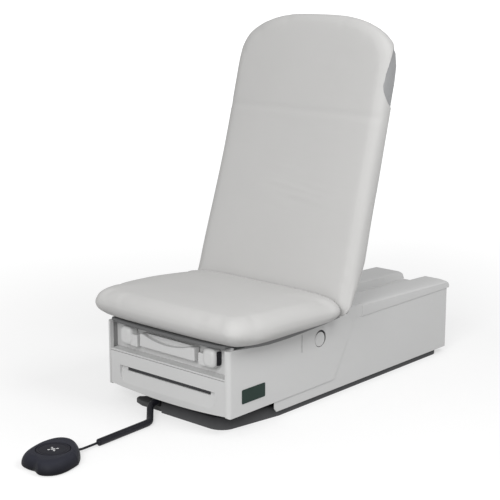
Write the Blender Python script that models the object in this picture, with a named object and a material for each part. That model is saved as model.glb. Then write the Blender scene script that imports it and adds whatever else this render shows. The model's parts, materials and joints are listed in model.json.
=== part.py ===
"""A powered examination chair: a floor base with a telescopic lift, a seat carriage in moulded covers, a
reclining backrest, a pull-out foot board, two pull-out stirrups, a front drawer and a corded foot control.

Metres, +Z up, the seat faces -Y and the floor is z = 0.
"""
import math

import bmesh
import bpy
from mathutils import Vector

# Clearances
FIT_GAP = 0.0004  # between pieces that rest against each other
SLIDE_GAP = 0.0008  # between pieces that move along each other
PIVOT_GAP = 0.0005  # round a pin in its hole

# Covers and body
BODY_WIDTH = 0.583
BODY_FRONT_Y = -0.644
BODY_REAR_Y = 0.644
COVER_WALL = 0.0035
COVER_TOP_Z = 0.2925  # top of the front covers, under the seat
COVER_BOTTOM_Z = 0.061
COVER_LOWER_CORNER = 0.009
COVER_CORNER = 0.016  # radius of the upright front corners
COLUMN_FACE = 0.0175  # width of the cover's return on the front
SEAM_REAR_Z = 0.2632  # joint between the rear housing and the deck
HOUSING_BOTTOM_Z = 0.023
STRIP_FRONT_Y = -0.410
STRIP_TOP_Z = 0.110

# Mains inlet
INLET_X = -0.180
INLET_Z = 0.101
INLET_HALF_WIDTH = 0.0255
INLET_HALF_HEIGHT = 0.0155
INLET_FLANGE = 0.009
INLET_WALL = 0.006
INLET_DEPTH = 0.028

# Rear deck
DECK_RAIL_Z = 0.314
DECK_FLOOR_Z = 0.2635
HUMP_TOP_Z = 0.312
HUMP_SHOULDER_Z = 0.303
HUMP_HALF_WIDTH = 0.074
RAIL_INNER_X = 0.172
DECK_FRONT_Y = -0.004

# Base
BASE_SIDE_ROOM = 0.0081  # from the housing's inner face
BASE_FRONT_HALF_WIDTH = 0.246
BASE_FRONT_Y = -0.622
BASE_SHOULDER_Y = -0.372
BASE_REAR_Y = 0.600
BASE_CORNER = 0.060
BASE_FLOOR = 0.006
BASE_RIM = 0.006
BASE_RIM_Z = 0.021
BASE_FRONT_Z = 0.046
NOTCH_RIGHT_X = -0.046  # the front skirt ends here, at the flat foot beside it
FOOT_TIP_X = -0.196
FOOT_PLATE_Z = 0.019

# Telescopic lift
COLUMN_Y = -0.095
COLUMN_WIDTH = 0.236
COLUMN_DEPTH = 0.200
COLUMN_TUBE = 0.004
COLUMN_TOP_Z = 0.235
HEAD_PLATE = 0.008

# Carriage frame
FRAME_SIDE_ROOM = 0.0201  # from the housing's inner face
FRAME_RAIL_WIDTH = 0.026
FRAME_BOTTOM_Z = 0.195
FRAME_TOP_Z = 0.235
FRAME_FRONT_Y = -0.598
FRAME_REAR_Y = 0.600
CROSS_FRONT_Y = -0.245
CROSS_MID_Y = 0.056
CROSS_WIDTH = 0.028

# Seat
SEAT_HALF_WIDTH = 0.370
SEAT_FRONT_Y = -0.668
SEAT_BOW = 0.017
SEAT_REAR_Y = -0.112
SEAT_BOTTOM_Z = 0.3080
SEAT_EDGE_Z = 0.4020
SEAT_CROWN = 0.008
SEAT_TILT = -0.030
SEAT_CORNER_FRONT = (0.070, 0.200, 2.3)  # across, along, and the power of its curve
SEAT_CORNER_REAR = (0.045, 0.045, 2.0)
SEAT_BOARD = 0.012
SEAT_BOARD_OVERHANG = 0.007  # beyond the frame's rails
SEAT_BOARD_REAR_Y = -0.152

# Backrest
BACK_ANGLE = math.radians(73.3)
HINGE_Y = -0.080
HINGE_Z = 0.355
HINGE_RADIUS = 0.009
BACK_HALF_WIDTH = 0.3565
BACK_LOWER = -0.055
BACK_UPPER = 1.0144
BACK_FRONT = 0.046
BACK_CORE = -0.027  # where the board beds
BACK_REAR = -0.0365
BACK_CROWN = 0.004
BACK_CORNER_TOP = (0.310, 0.2215, 2.35)
BACK_CORNER_LOW = (0.050, 0.050, 2.0)
BACK_FLARE_LOW = 0.0134
BACK_FLARE_HIGH = 0.0148
BACK_HEEL = 0.055  # how far forward the rear tapers towards the lower end
BACK_HEEL_FROM = 0.155
BACK_BEND = 0.0484  # forward curve of the upper part
BACK_BEND_FROM = 0.4418
BACK_BEND_STEPS = 6
BACK_BOARD = 0.0096
BACK_BOARD_INSET = 0.034
BACK_BOARD_LOWER = 0.046
ARM_X = 0.110
ARM_WIDTH = 0.034
ARM_DEPTH = 0.014
ARM_LENGTH = 0.440
BRACKET_X = 0.205
BRACKET_PLATE = 0.012
LEVER_RADIUS = 0.085
LEVER_PLATE = 0.010
LEVER_PIN = 0.005
GRIP_U = 0.768  # where the recess for a hand is deepest
GRIP_BELOW = 0.068
GRIP_ABOVE = 0.165
GRIP_DEPTH = 0.068
GRIP_INSET = 0.005

# Actuator of the backrest
ACTUATOR_Z = 0.278
ACTUATOR_RADIUS = 0.016
ACTUATOR_FRONT_Y = 0.042
ACTUATOR_REAR_Y = 0.395
ROD_RADIUS = 0.007
ROD_REAR_Y = 0.225
FORK_HALF_LENGTH = 0.015
FORK_HALF_HEIGHT = 0.021
FORK_SLOT_HALF_WIDTH = 0.0076
FORK_SLOT_HALF_HEIGHT = 0.0155

# Front compartment
SHELF_TOP_Z = 0.195
SHELF_THICK = 0.006
SHELF_REAR_Y = -0.545
FASCIA_Y = -0.606
FASCIA_THICK = 0.004
STIRRUP_SIDE_ROOM = 0.042  # from the frame's rails
STIRRUP_BAR = 0.024
STIRRUP_TUBE = 0.036
STIRRUP_REAR_Y = -0.262
CUP_WIDTH = 0.100
CUP_HEIGHT = 0.068
CUP_FRONT_Y = -0.646
CUP_BOTTOM_Z = 0.2190
CUP_POST = 0.026
CUP_POST_DROP = 0.024
BOARD_HALF_WIDTH = 0.120
BOARD_THICK = 0.020
BOARD_REAR_Y = -0.268
TRAY_THICK = 0.003
FOOT_FRONT_HALF_WIDTH = 0.131
FOOT_FRONT_Y = -0.640
FOOT_FRONT_BOTTOM_Z = 0.226
FOOT_FRONT_TOP_Z = 0.274
FOOT_DIP = 0.019
FOOT_RIM = 0.018  # depth of the dip, in front of the higher rear rim

# Drawer
DRAWER_TOP_Z = 0.1875
DRAWER_BOTTOM_Z = 0.055
DRAWER_BOW = 0.0125  # rise of the panel's lower edge towards its ends
DRAWER_PANEL = 0.018
DRAWER_SIDE_ROOM = 0.025  # between the box and the frame's rails
DRAWER_BOX_BOTTOM_Z = 0.066
DRAWER_BOX_TOP_Z = 0.172
DRAWER_BOX_REAR_Y = -0.270
DRAWER_WALL = 0.004
PULL_HALF_WIDTH = 0.200
PULL_TOP_Z = 0.142
PULL_SLOT = 0.018
SCOOP_HALF_WIDTH = 0.228
SCOOP_CORNER = 0.036
SCOOP_BOTTOM_Z = 0.088
SCOOP_DEPTH = 0.008
RUNNER_Z = 0.1005
RUNNER_HEIGHT = 0.035
RUNNER_THICK = 0.009

# Side details
PORT_Y = -0.168
PORT_Z = 0.234
PORT_RADIUS = 0.031
GROOVE_Y = -0.2695
GROOVE_HALF_WIDTH = 0.0018
COVER_SLOPE = 0.018  # width of the slope along the rear and lower edges
COVER_SLOPE_DEPTH = 0.0026
GROOVE_LOW_Z = 0.205
GROOVE_HIGH_Z = 0.270
BADGE_FRONT_Y = -0.580
BADGE_REAR_Y = -0.464
BADGE_LOW_Z = 0.099
BADGE_HIGH_Z = 0.148

# Foot control and its cord
CONTROL_X = 0.0241
CONTROL_Y = -1.1592
CONTROL_TURN = math.radians(17.6)
CONTROL_HALF_WIDTH = 0.089
CONTROL_HALF_LENGTH = 0.119
CONTROL_TOP_Z = 0.046
CONTROL_STEP = 0.20  # how far the front's left part stands back, as a share of its reach
SOLE_THICK = 0.004
PAD_RADIUS = 0.055
PAD_THICK = 0.008
PAD_WELL = 0.016
CORD_DIAMETER = 0.008
SLEEVE_DIAMETER = 0.024
SLEEVE_BEND = 0.050
CORD_BEND = 0.030
CORD_ENTRY_Z = 0.015

HALF = BODY_WIDTH / 2
COVER_INNER = HALF - COVER_WALL
HOUSING_OUTER = COVER_INNER - FIT_GAP
HOUSING_INNER = HOUSING_OUTER - COVER_WALL
BASE_HALF_WIDTH = HOUSING_INNER - BASE_SIDE_ROOM
FRAME_RAIL_OUT = HOUSING_INNER - FRAME_SIDE_ROOM
FRAME_RAIL_IN = FRAME_RAIL_OUT - FRAME_RAIL_WIDTH
SEAT_BOARD_HALF_WIDTH = FRAME_RAIL_OUT + SEAT_BOARD_OVERHANG
DRAWER_BOX_HALF_WIDTH = FRAME_RAIL_IN - DRAWER_SIDE_ROOM
STIRRUP_X = FRAME_RAIL_IN - STIRRUP_SIDE_ROOM

LIGHT = (0.56, 0.57, 0.57)
VINYL = (0.60, 0.59, 0.57)
DARK = (0.045, 0.047, 0.050)
STEEL = (0.42, 0.43, 0.44)
GREY = (0.28, 0.285, 0.29)


def look(name, colour, rough, metal=0.0):
    """A plain Principled material of this piece's own."""
    made = bpy.data.materials.new(name)
    made.use_nodes = True
    shader = made.node_tree.nodes["Principled BSDF"]
    shader.inputs["Base Color"].default_value = (*colour, 1.0)
    shader.inputs["Roughness"].default_value = rough
    shader.inputs["Metallic"].default_value = metal
    return made


def piece(name, form, colour, rough=0.5, metal=0.0):
    """Links a form into the scene as one named sub-part."""
    bmesh.ops.recalc_face_normals(form, faces=form.faces[:])
    mesh = bpy.data.meshes.new(name)
    form.to_mesh(mesh)
    form.free()
    obj = bpy.data.objects.new(name, mesh)
    mesh.materials.append(look(name, colour, rough, metal))
    bpy.context.scene.collection.objects.link(obj)
    return obj


def loft(loops):
    """A closed form through loops of equally many points, capped at both ends."""
    form = bmesh.new()
    rings = [[form.verts.new(p) for p in loop] for loop in loops]
    count = len(rings[0])
    for low, high in zip(rings, rings[1:]):
        for i in range(count):
            k = (i + 1) % count
            form.faces.new((low[i], low[k], high[k], high[i]))
    form.faces.new(rings[0][::-1])
    form.faces.new(rings[-1])
    bmesh.ops.recalc_face_normals(form, faces=form.faces[:])
    return form


def along(axis, pair, at):
    """A point from its place on an axis and its two other coordinates, in x, y, z order."""
    point = list(pair)
    point.insert("xyz".index(axis), at)
    return Vector(point)


def prism(axis, outline, low, high):
    return loft([[along(axis, p, at) for p in outline] for at in (low, high)])


def box(x0, x1, y0, y1, z0, z1, round_edges=0.0, steps=2):
    form = prism("z", [(x0, y0), (x1, y0), (x1, y1), (x0, y1)], z0, z1)
    if round_edges:
        bevel(form, form.edges[:], round_edges, steps)
    return form


def bevel(form, edges, size, steps):
    bmesh.ops.bevel(form, geom=edges, offset=size, offset_type="OFFSET", segments=steps,
                    profile=0.5, affect="EDGES", clamp_overlap=True, material=-1)


def ring(radius, count=28, centre=(0.0, 0.0)):
    turn = 2 * math.pi / count
    return [(centre[0] + radius * math.cos(i * turn), centre[1] + radius * math.sin(i * turn))
            for i in range(count)]


def rod(axis, centre, radius, low, high, count=28):
    return prism(axis, ring(radius, count, centre), low, high)


def turned(axis, centre, profile, count=28):
    """A solid of revolution from (place, radius) pairs."""
    return loft([[along(axis, p, at) for p in ring(radius, count, centre)] for at, radius in profile])


def held(form):
    mesh = bpy.data.meshes.new("form")
    form.to_mesh(mesh)
    form.free()
    obj = bpy.data.objects.new("form", mesh)
    bpy.context.scene.collection.objects.link(obj)
    return obj


def combine(operation, first, *others):
    """The first form with the others joined to it, cut from it, or met with it."""
    for other in others:
        base, tool = held(first), held(other)
        step = base.modifiers.new("Boolean", "BOOLEAN")
        step.operation = operation
        step.solver = "EXACT"
        step.object = tool
        graph = bpy.context.evaluated_depsgraph_get()
        mesh = bpy.data.meshes.new_from_object(base.evaluated_get(graph))
        first = bmesh.new()
        first.from_mesh(mesh)
        for used in (base, tool):
            bpy.data.objects.remove(used)
    return first


def join(first, *others):
    return combine("UNION", first, *others)


def cut(first, *others):
    return combine("DIFFERENCE", first, *others)


def meet(first, *others):
    return combine("INTERSECT", first, *others)


def mirrored(form):
    """The form reflected to the other side of the chair."""
    other = form.copy()
    for vert in other.verts:
        vert.co.x = -vert.co.x
    bmesh.ops.reverse_faces(other, faces=other.faces[:])
    return other


def pair(name, form, colour, rough=0.5, metal=0.0):
    """A right-hand form and its reflection, as two sub-parts."""
    piece(name + "_left", mirrored(form), colour, rough, metal)
    piece(name + "_right", form, colour, rough, metal)


def arc(centre, radius, start, end, steps):
    return [(centre[0] + radius * math.cos(math.radians(start + (end - start) * i / steps)),
             centre[1] + radius * math.sin(math.radians(start + (end - start) * i / steps)))
            for i in range(steps + 1)]


def quarter(centre, corner, start, steps):
    """A quarter turn of a squared ellipse, from its reach across and along and its power."""
    across, along_side, power = corner
    points = []
    for i in range(steps + 1):
        turn = math.radians(start + 90 * i / steps)
        x, y = math.cos(turn), math.sin(turn)
        points.append((centre[0] + across * math.copysign(abs(x) ** (2 / power), x),
                       centre[1] + along_side * math.copysign(abs(y) ** (2 / power), y)))
    return points


def smaller(corner, inset, least, half):
    """A corner of an outline that is drawn in by the inset, within its half width."""
    return max(min(corner[0] - inset, half * 0.85), least), max(corner[1] - inset, least), corner[2]


def rounded_outline(half, low, high, corner_low, corner_high, steps=7, between=5):
    """A rounded rectangle, anticlockwise from its lower right corner, with points along its sides."""
    corners = [((half - corner_low[0], low + corner_low[1]), corner_low, -90),
               ((half - corner_high[0], high - corner_high[1]), corner_high, 0),
               ((-half + corner_high[0], high - corner_high[1]), corner_high, 90),
               ((-half + corner_low[0], low + corner_low[1]), corner_low, 180)]
    points = []
    for index, (centre, corner, start) in enumerate(corners):
        points += quarter(centre, corner, start, steps)
        here = Vector(points[-1])
        there = Vector(quarter(*corners[(index + 1) % 4], 1)[0])
        points += [tuple(here.lerp(there, i / (between + 1))) for i in range(1, between + 1)]
    return points


def pad_profile(low, high, edge, drawn, power, steps):
    """(inset, height) pairs up the side of a cushion, drawn in below and rolled over at the top."""
    middle, rise = (low + high) / 2, (high - low) / 2
    pairs = []
    for i in range(steps + 1):
        angle = math.radians(-90 + 180 * i / steps)
        out = abs(math.cos(angle)) ** (2 / power)
        up = math.copysign(abs(math.sin(angle)) ** (2 / power), math.sin(angle))
        depth = drawn if angle < 0 else edge
        pairs.append((depth * (1 - out), middle + rise * up))
    return pairs


def pad(outline, low, high, edge, drawn, power, crown, insets, place, steps=8):
    """A soft solid: outline(inset) gives the plan, place(x, y, height) sets it in the chair."""
    pairs = pad_profile(low, high, edge, drawn, power, steps)
    deepest = insets[-1]
    for inset in insets:
        share = 1 - (inset - edge) / (deepest - edge)
        pairs.append((inset, high + crown * (1 - share * share)))
    return loft([[place(x, y, height) for x, y in outline(inset)] for inset, height in pairs])


def back_point(x, along_back, out):
    """A point of the backrest, from the hinge: up its face, and out towards the sitter."""
    c, s = math.cos(BACK_ANGLE), math.sin(BACK_ANGLE)
    return Vector((x, HINGE_Y + along_back * c - out * s, HINGE_Z + along_back * s + out * c))


def back_box(x0, x1, u0, u1, v0, v1):
    return loft([[back_point(x, u, v) for x, u in ((x0, u0), (x1, u0), (x1, u1), (x0, u1))]
                 for v in (v0, v1)])


for old in list(bpy.data.objects):
    bpy.data.objects.remove(old)

# Floor base: a pressed pan with a rim, a taller skirt at the front and a flat foot beside the skirt


def base_outline(inset):
    """The pan's plan: a rounded right corner, and the skirt's end at the flat foot on the left."""
    half, wide, front = BASE_FRONT_HALF_WIDTH - inset, BASE_HALF_WIDTH - inset, BASE_FRONT_Y + inset
    rear, bend, small = BASE_REAR_Y - inset, BASE_CORNER - inset, BASE_CORNER / 2 - inset
    points = [(NOTCH_RIGHT_X + inset, front)]
    points += arc((half - bend, front + bend), bend, -90, 0, 6)
    points += [(wide, BASE_SHOULDER_Y)]
    points += arc((wide - small, rear - small), small, 0, 90, 5)
    points += arc((-wide + small, rear - small), small, 90, 180, 5)
    points += [(-wide, BASE_SHOULDER_Y), (NOTCH_RIGHT_X + inset, BASE_SHOULDER_Y - 0.02)]
    return points


pan = prism("z", base_outline(0.0), 0.0, BASE_FRONT_Z)
bevel(pan, [e for e in pan.edges if all(v.co.z > BASE_FLOOR for v in e.verts)], 0.007, 2)
pan = cut(pan, prism("z", base_outline(BASE_RIM), BASE_FLOOR, 0.2),
          box(-0.4, 0.4, BASE_SHOULDER_Y + 0.012, 0.8, BASE_RIM_Z, 0.2))
piece("base_pan", pan, DARK, 0.55)
lid = prism("z", base_outline(BASE_RIM + FIT_GAP), BASE_FRONT_Z - 0.011, BASE_FRONT_Z - 0.007)
lid = cut(lid, box(-0.4, 0.4, -0.475, 0.8, 0.0, 0.2))
piece("base_front_lid", lid, DARK, 0.6)
edge_x = NOTCH_RIGHT_X - FIT_GAP
foot = prism("z", [(edge_x, -0.612), (edge_x, BASE_SHOULDER_Y - 0.04), (-0.140, BASE_SHOULDER_Y - 0.03),
                   (-0.172, -0.560), (FOOT_TIP_X, -0.586), (FOOT_TIP_X + 0.006, -0.602), (-0.150, -0.615)],
             0.0, FOOT_PLATE_Z)
bevel(foot, [e for e in foot.edges if all(v.co.z > 0.01 for v in e.verts)], 0.005, 2)
piece("base_foot_plate", foot, DARK, 0.6)

# Telescopic lift column
column_outer = (COLUMN_WIDTH / 2, COLUMN_DEPTH / 2)


def stage_tube(index, low, high):
    """A nested square tube, counted inwards from the fixed outer one."""
    shrink = index * (COLUMN_TUBE + SLIDE_GAP)
    half_x, half_y = column_outer[0] - shrink, column_outer[1] - shrink
    shell = box(-half_x, half_x, COLUMN_Y - half_y, COLUMN_Y + half_y, low, high)
    bevel(shell, [e for e in shell.edges if abs(e.verts[0].co.z - e.verts[1].co.z) > 0.05], 0.012, 2)
    inner_x, inner_y = half_x - COLUMN_TUBE, half_y - COLUMN_TUBE
    hollow = box(-inner_x, inner_x, COLUMN_Y - inner_y, COLUMN_Y + inner_y, low - 0.05, high + 0.05)
    bevel(hollow, [e for e in hollow.edges if abs(e.verts[0].co.z - e.verts[1].co.z) > 0.05], 0.008, 2)
    return cut(shell, hollow)


stage_low = BASE_FLOOR + FIT_GAP
piece("column_outer", stage_tube(0, stage_low, COLUMN_TOP_Z - SLIDE_GAP), LIGHT, 0.4)
piece("column_stage_one", stage_tube(1, stage_low + SLIDE_GAP, COLUMN_TOP_Z - SLIDE_GAP), STEEL, 0.35, 0.8)
piece("column_stage_two", stage_tube(2, stage_low + SLIDE_GAP, COLUMN_TOP_Z - SLIDE_GAP), STEEL, 0.35, 0.8)
piece("column_inner", stage_tube(3, stage_low + SLIDE_GAP, COLUMN_TOP_Z), STEEL, 0.35, 0.8)
motor_front = COLUMN_Y + column_outer[1] + FIT_GAP
motor = join(box(-0.055, 0.055, motor_front, motor_front + 0.075, stage_low, 0.090, 0.006),
             rod("y", (0.0, 0.050), 0.036, motor_front + 0.060, motor_front + 0.205))
piece("lift_motor", motor, GREY, 0.5)

# Carriage frame, with the posts that carry the seat board
head_low = FRAME_TOP_Z + FIT_GAP
head_high = head_low + HEAD_PLATE
post_top = SEAT_BOTTOM_Z - FIT_GAP - SEAT_BOARD - FIT_GAP
frame = box(FRAME_RAIL_IN, FRAME_RAIL_OUT, FRAME_FRONT_Y, FRAME_REAR_Y, FRAME_BOTTOM_Z + FIT_GAP, FRAME_TOP_Z)
frame = join(frame, mirrored(frame))
frame = join(
    frame,
    box(-COVER_INNER + FIT_GAP, COVER_INNER - FIT_GAP, CROSS_FRONT_Y - CROSS_WIDTH / 2,
        CROSS_FRONT_Y + CROSS_WIDTH / 2, FRAME_BOTTOM_Z + 0.004, FRAME_TOP_Z),
    box(-HOUSING_INNER + FIT_GAP, HOUSING_INNER - FIT_GAP, CROSS_MID_Y - CROSS_WIDTH / 2,
        CROSS_MID_Y + CROSS_WIDTH / 2, FRAME_BOTTOM_Z + 0.004, FRAME_TOP_Z),
    box(-HOUSING_INNER + FIT_GAP, HOUSING_INNER - FIT_GAP, FRAME_REAR_Y - CROSS_WIDTH,
        FRAME_REAR_Y, FRAME_BOTTOM_Z + 0.004, FRAME_TOP_Z))
for side in (-1, 1):
    inner, outer = sorted((side * (FRAME_RAIL_IN + 0.004), side * (FRAME_RAIL_OUT - 0.002)))
    frame = join(frame, box(inner, outer, FRAME_FRONT_Y + 0.013, SEAT_BOARD_REAR_Y - 0.02,
                            FRAME_TOP_Z - 0.01, post_top))
piece("carriage_frame", frame, STEEL, 0.5, 0.6)
head = box(-FRAME_RAIL_IN - 0.003, FRAME_RAIL_IN + 0.003, SEAT_BOARD_REAR_Y - 0.015, CROSS_MID_Y + 0.010,
           head_low, head_high)
piece("column_head_plate", head, STEEL, 0.5, 0.6)

# Seat board with its bowed front lip, and the cushion on it
board_low = SEAT_BOTTOM_Z - FIT_GAP - SEAT_BOARD
front_edge = [(SEAT_BOARD_HALF_WIDTH * math.sin(math.radians(a)),
               BODY_FRONT_Y + 0.006 - 0.022 * math.cos(math.radians(a)))
              for a in range(-90, 91, 15)]
seat_board = prism("z", front_edge + [(SEAT_BOARD_HALF_WIDTH, SEAT_BOARD_REAR_Y),
                                      (-SEAT_BOARD_HALF_WIDTH, SEAT_BOARD_REAR_Y)],
                   board_low, SEAT_BOTTOM_Z - FIT_GAP)
piece("seat_board", seat_board, LIGHT, 0.5)
seat_middle_y = (SEAT_FRONT_Y + SEAT_REAR_Y) / 2


def seat_outline(inset):
    half = SEAT_HALF_WIDTH - inset
    low, high = SEAT_FRONT_Y + inset, SEAT_REAR_Y - inset
    corner = smaller(SEAT_CORNER_FRONT, inset * 0.6, 0.020, half)
    points = rounded_outline(half, low, high, corner, smaller(SEAT_CORNER_REAR, inset, 0.010, half))
    reach = low + corner[1]
    return [(x, y - SEAT_BOW * (1 - (x / half) ** 2) * max(0.0, min(1.0, (reach - y) / corner[1])))
            for x, y in points]


def seat_place(x, y, height):
    share = (height - SEAT_BOTTOM_Z) / (SEAT_EDGE_Z - SEAT_BOTTOM_Z)
    return Vector((x, y, height + SEAT_TILT * (y - seat_middle_y) * share))


heel_radius = math.hypot(BACK_LOWER, BACK_CORE * 0.4) + 0.003
seat = pad(seat_outline, SEAT_BOTTOM_Z, SEAT_EDGE_Z, 0.060, 0.050, 2.25, SEAT_CROWN,
           (0.085, 0.125, 0.165, 0.205), seat_place)
seat = cut(seat, rod("x", (HINGE_Y, HINGE_Z), heel_radius, -0.5, 0.5, 40))
piece("seat_cushion", seat, VINYL, 0.6)

# Moulded side covers: an upright front return, a slanted rear edge, a round port and a short groove
corner_plan = [(COVER_INNER, 0.2), (COVER_INNER, BODY_FRONT_Y + COVER_CORNER)]
corner_plan += [(HALF - COLUMN_FACE, BODY_FRONT_Y + COVER_CORNER), (HALF - COLUMN_FACE, BODY_FRONT_Y)]
corner_plan += arc((HALF - COVER_CORNER, BODY_FRONT_Y + COVER_CORNER), COVER_CORNER, -90, 0, 6)
corner_plan += [(HALF, 0.2)]
lower = COVER_LOWER_CORNER
side_shape = [(BODY_FRONT_Y - 0.02, COVER_TOP_Z), (BODY_FRONT_Y - 0.02, COVER_BOTTOM_Z + lower * 0.7)]
side_shape += arc((BODY_FRONT_Y + lower, COVER_BOTTOM_Z + lower), lower, 200, 270, 4)
side_shape += [(-0.094, COVER_BOTTOM_Z + 0.0025), (-0.082, 0.069), (-0.072, 0.080), (-0.050, 0.1085),
               (0.002, 0.197), (0.054, 0.286), (0.063, 0.302), (0.076, 0.3125), (0.004, 0.3125),
               (-0.012, COVER_TOP_Z)]
cover = meet(prism("z", corner_plan, 0.0, 0.5), prism("x", side_shape, 0.2, 0.4))


def slope_form(start, end, width):
    """A wedge that slopes the cover's outer face down to an edge that runs from start to end."""
    line = (Vector(end) - Vector(start)).normalized()
    inward = Vector((-line.y, line.x))
    edge, slope = HALF - COVER_SLOPE_DEPTH, COVER_SLOPE_DEPTH / width
    section = [(-0.02, edge - 0.02 * slope), (width + 0.02, HALF + 0.02 * slope), (-0.02, HALF + 0.02)]
    return loft([[Vector((x, *(place + inward * t))) for t, x in section]
                 for place in (Vector(start) - line * 0.05, Vector(end) + line * 0.05)])


cover = cut(cover, rod("x", (PORT_Y, PORT_Z), PORT_RADIUS, 0.2, 0.4, 32),
            box(HALF - 0.0022, 0.4, GROOVE_Y - GROOVE_HALF_WIDTH, GROOVE_Y + GROOVE_HALF_WIDTH,
                GROOVE_LOW_Z, GROOVE_HIGH_Z),
            slope_form((-0.050, 0.1085), (0.054, 0.286), COVER_SLOPE))
pair("side_cover", cover, LIGHT, 0.42)
cap_high = COVER_INNER - FIT_GAP
cap_profile = [(cap_high - 0.0045, PORT_RADIUS + 0.005), (cap_high, PORT_RADIUS + 0.005),
               (cap_high, PORT_RADIUS - 0.0035), (cap_high - 0.0025, PORT_RADIUS - 0.0045)]
cap = turned("x", (PORT_Y, PORT_Z), cap_profile, 32)
pair("port_cap", cap, LIGHT, 0.45)
badge = box(HALF + FIT_GAP, HALF + 0.0016, BADGE_FRONT_Y, BADGE_REAR_Y, BADGE_LOW_Z, BADGE_HIGH_Z)
bevel(badge, [e for e in badge.edges if abs(e.verts[0].co.x - e.verts[1].co.x) > 0.0005], 0.004, 3)
piece("badge_plate", badge, (0.02, 0.045, 0.036), 0.3)

# Rear housing: low strips under the side covers, side walls and a rear wall, open below
housing_side = [(STRIP_FRONT_Y + 0.012, HOUSING_BOTTOM_Z), (0.7, HOUSING_BOTTOM_Z), (0.7, SEAM_REAR_Z),
                (0.030, SEAM_REAR_Z), (-0.060, STRIP_TOP_Z), (STRIP_FRONT_Y + 0.03, STRIP_TOP_Z),
                (STRIP_FRONT_Y, 0.072), (STRIP_FRONT_Y, HOUSING_BOTTOM_Z + 0.014)]
outer_plan = [(-HOUSING_OUTER, -0.5), (HOUSING_OUTER, -0.5)]
outer_plan += arc((HOUSING_OUTER - 0.012, BODY_REAR_Y - 0.012), 0.012, 0, 90, 4)
outer_plan += arc((-HOUSING_OUTER + 0.012, BODY_REAR_Y - 0.012), 0.012, 90, 180, 4)
inner_plan = [(-HOUSING_INNER, -0.6), (HOUSING_INNER, -0.6)]
inner_plan += arc((HOUSING_INNER - 0.009, BODY_REAR_Y - COVER_WALL - 0.009), 0.009, 0, 90, 4)
inner_plan += arc((-HOUSING_INNER + 0.009, BODY_REAR_Y - COVER_WALL - 0.009), 0.009, 90, 180, 4)
housing = meet(prism("z", outer_plan, 0.0, 0.4), prism("x", housing_side, -0.5, 0.5))


def inlet_box(grow, front, rear, round_edges=0.0):
    return box(INLET_X - INLET_HALF_WIDTH - grow, INLET_X + INLET_HALF_WIDTH + grow, front, rear,
               INLET_Z - INLET_HALF_HEIGHT - grow, INLET_Z + INLET_HALF_HEIGHT + grow, round_edges, 1)


housing = cut(housing, prism("z", inner_plan, -0.1, 0.5),
              inlet_box(FIT_GAP, BODY_REAR_Y - 0.04, BODY_REAR_Y + 0.06))
piece("rear_housing", housing, LIGHT, 0.42)
inlet = join(inlet_box(0.0, BODY_REAR_Y - INLET_DEPTH, BODY_REAR_Y + 0.001),
             inlet_box(INLET_FLANGE, BODY_REAR_Y + FIT_GAP, BODY_REAR_Y + 0.004, 0.001))
inlet = cut(inlet, inlet_box(-INLET_WALL, BODY_REAR_Y - INLET_DEPTH + 0.016, BODY_REAR_Y + 0.06))
piece("mains_inlet", inlet, DARK, 0.5)


def deck_profile(inset, rise):
    """Half the deck's section from the middle outwards: hump, channel and side rail."""
    floor = DECK_FLOOR_Z
    hump, rail = floor + (HUMP_TOP_Z - floor) * rise, floor + (DECK_RAIL_Z - floor) * rise
    soft = floor + (HUMP_SHOULDER_Z - floor) * rise
    top = [(0.052 - inset * 0.4, hump - inset), (HUMP_HALF_WIDTH - 0.006 - inset * 0.8, soft - inset * 0.6),
           (HUMP_HALF_WIDTH - inset, floor - inset), (RAIL_INNER_X - 0.008 + inset, floor - inset),
           (RAIL_INNER_X + inset, floor + (rail - floor) * 0.7 - inset * 0.4),
           (RAIL_INNER_X + 0.016 + inset * 0.4, rail - inset), (HOUSING_OUTER - 0.034, rail - inset),
           (HOUSING_OUTER - 0.010 - inset * 0.6, rail - 0.003 - inset),
           (HOUSING_OUTER - 0.002 - inset, rail - 0.006 - inset * 0.8),
           (HOUSING_OUTER - inset, rail - 0.010 - inset * 0.5)]
    return top


def deck_loop(y, inset, rise, low):
    half = deck_profile(inset, rise)
    edge = HOUSING_OUTER - inset
    whole = half + [(edge, low)] + [(-edge, low)] + [(-x, z) for x, z in reversed(half)]
    return [Vector((x, y, z)) for x, z in whole]


deck_low = SEAM_REAR_Z + FIT_GAP
deck_rises = ((DECK_FRONT_Y, 0.84), (0.030, 0.93), (0.100, 1.0), (0.600, 0.655), (0.630, 0.63),
              (0.6435, 0.54), (BODY_REAR_Y + 0.004, 0.38))
deck_outer = loft([deck_loop(y, 0.0, rise, deck_low - 0.006) for y, rise in deck_rises])
deck_inner = loft([deck_loop(-0.05 if y < 0 else y - 0.006 * (y > 0.5), COVER_WALL, rise, 0.2)
                   for y, rise in deck_rises])
deck_inset = HOUSING_INNER - FIT_GAP
deck = cut(deck_outer, deck_inner, box(-0.4, 0.4, -0.1, 0.8, 0.1, DECK_FLOOR_Z - COVER_WALL + 0.00001),
           box(deck_inset, 0.4, -0.1, 0.8, 0.1, deck_low), box(-0.4, -deck_inset, -0.1, 0.8, 0.1, deck_low),
           box(-0.4, 0.4, BODY_REAR_Y - COVER_WALL - FIT_GAP, 0.8, 0.1, deck_low))
piece("rear_deck", deck, LIGHT, 0.42)

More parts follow.
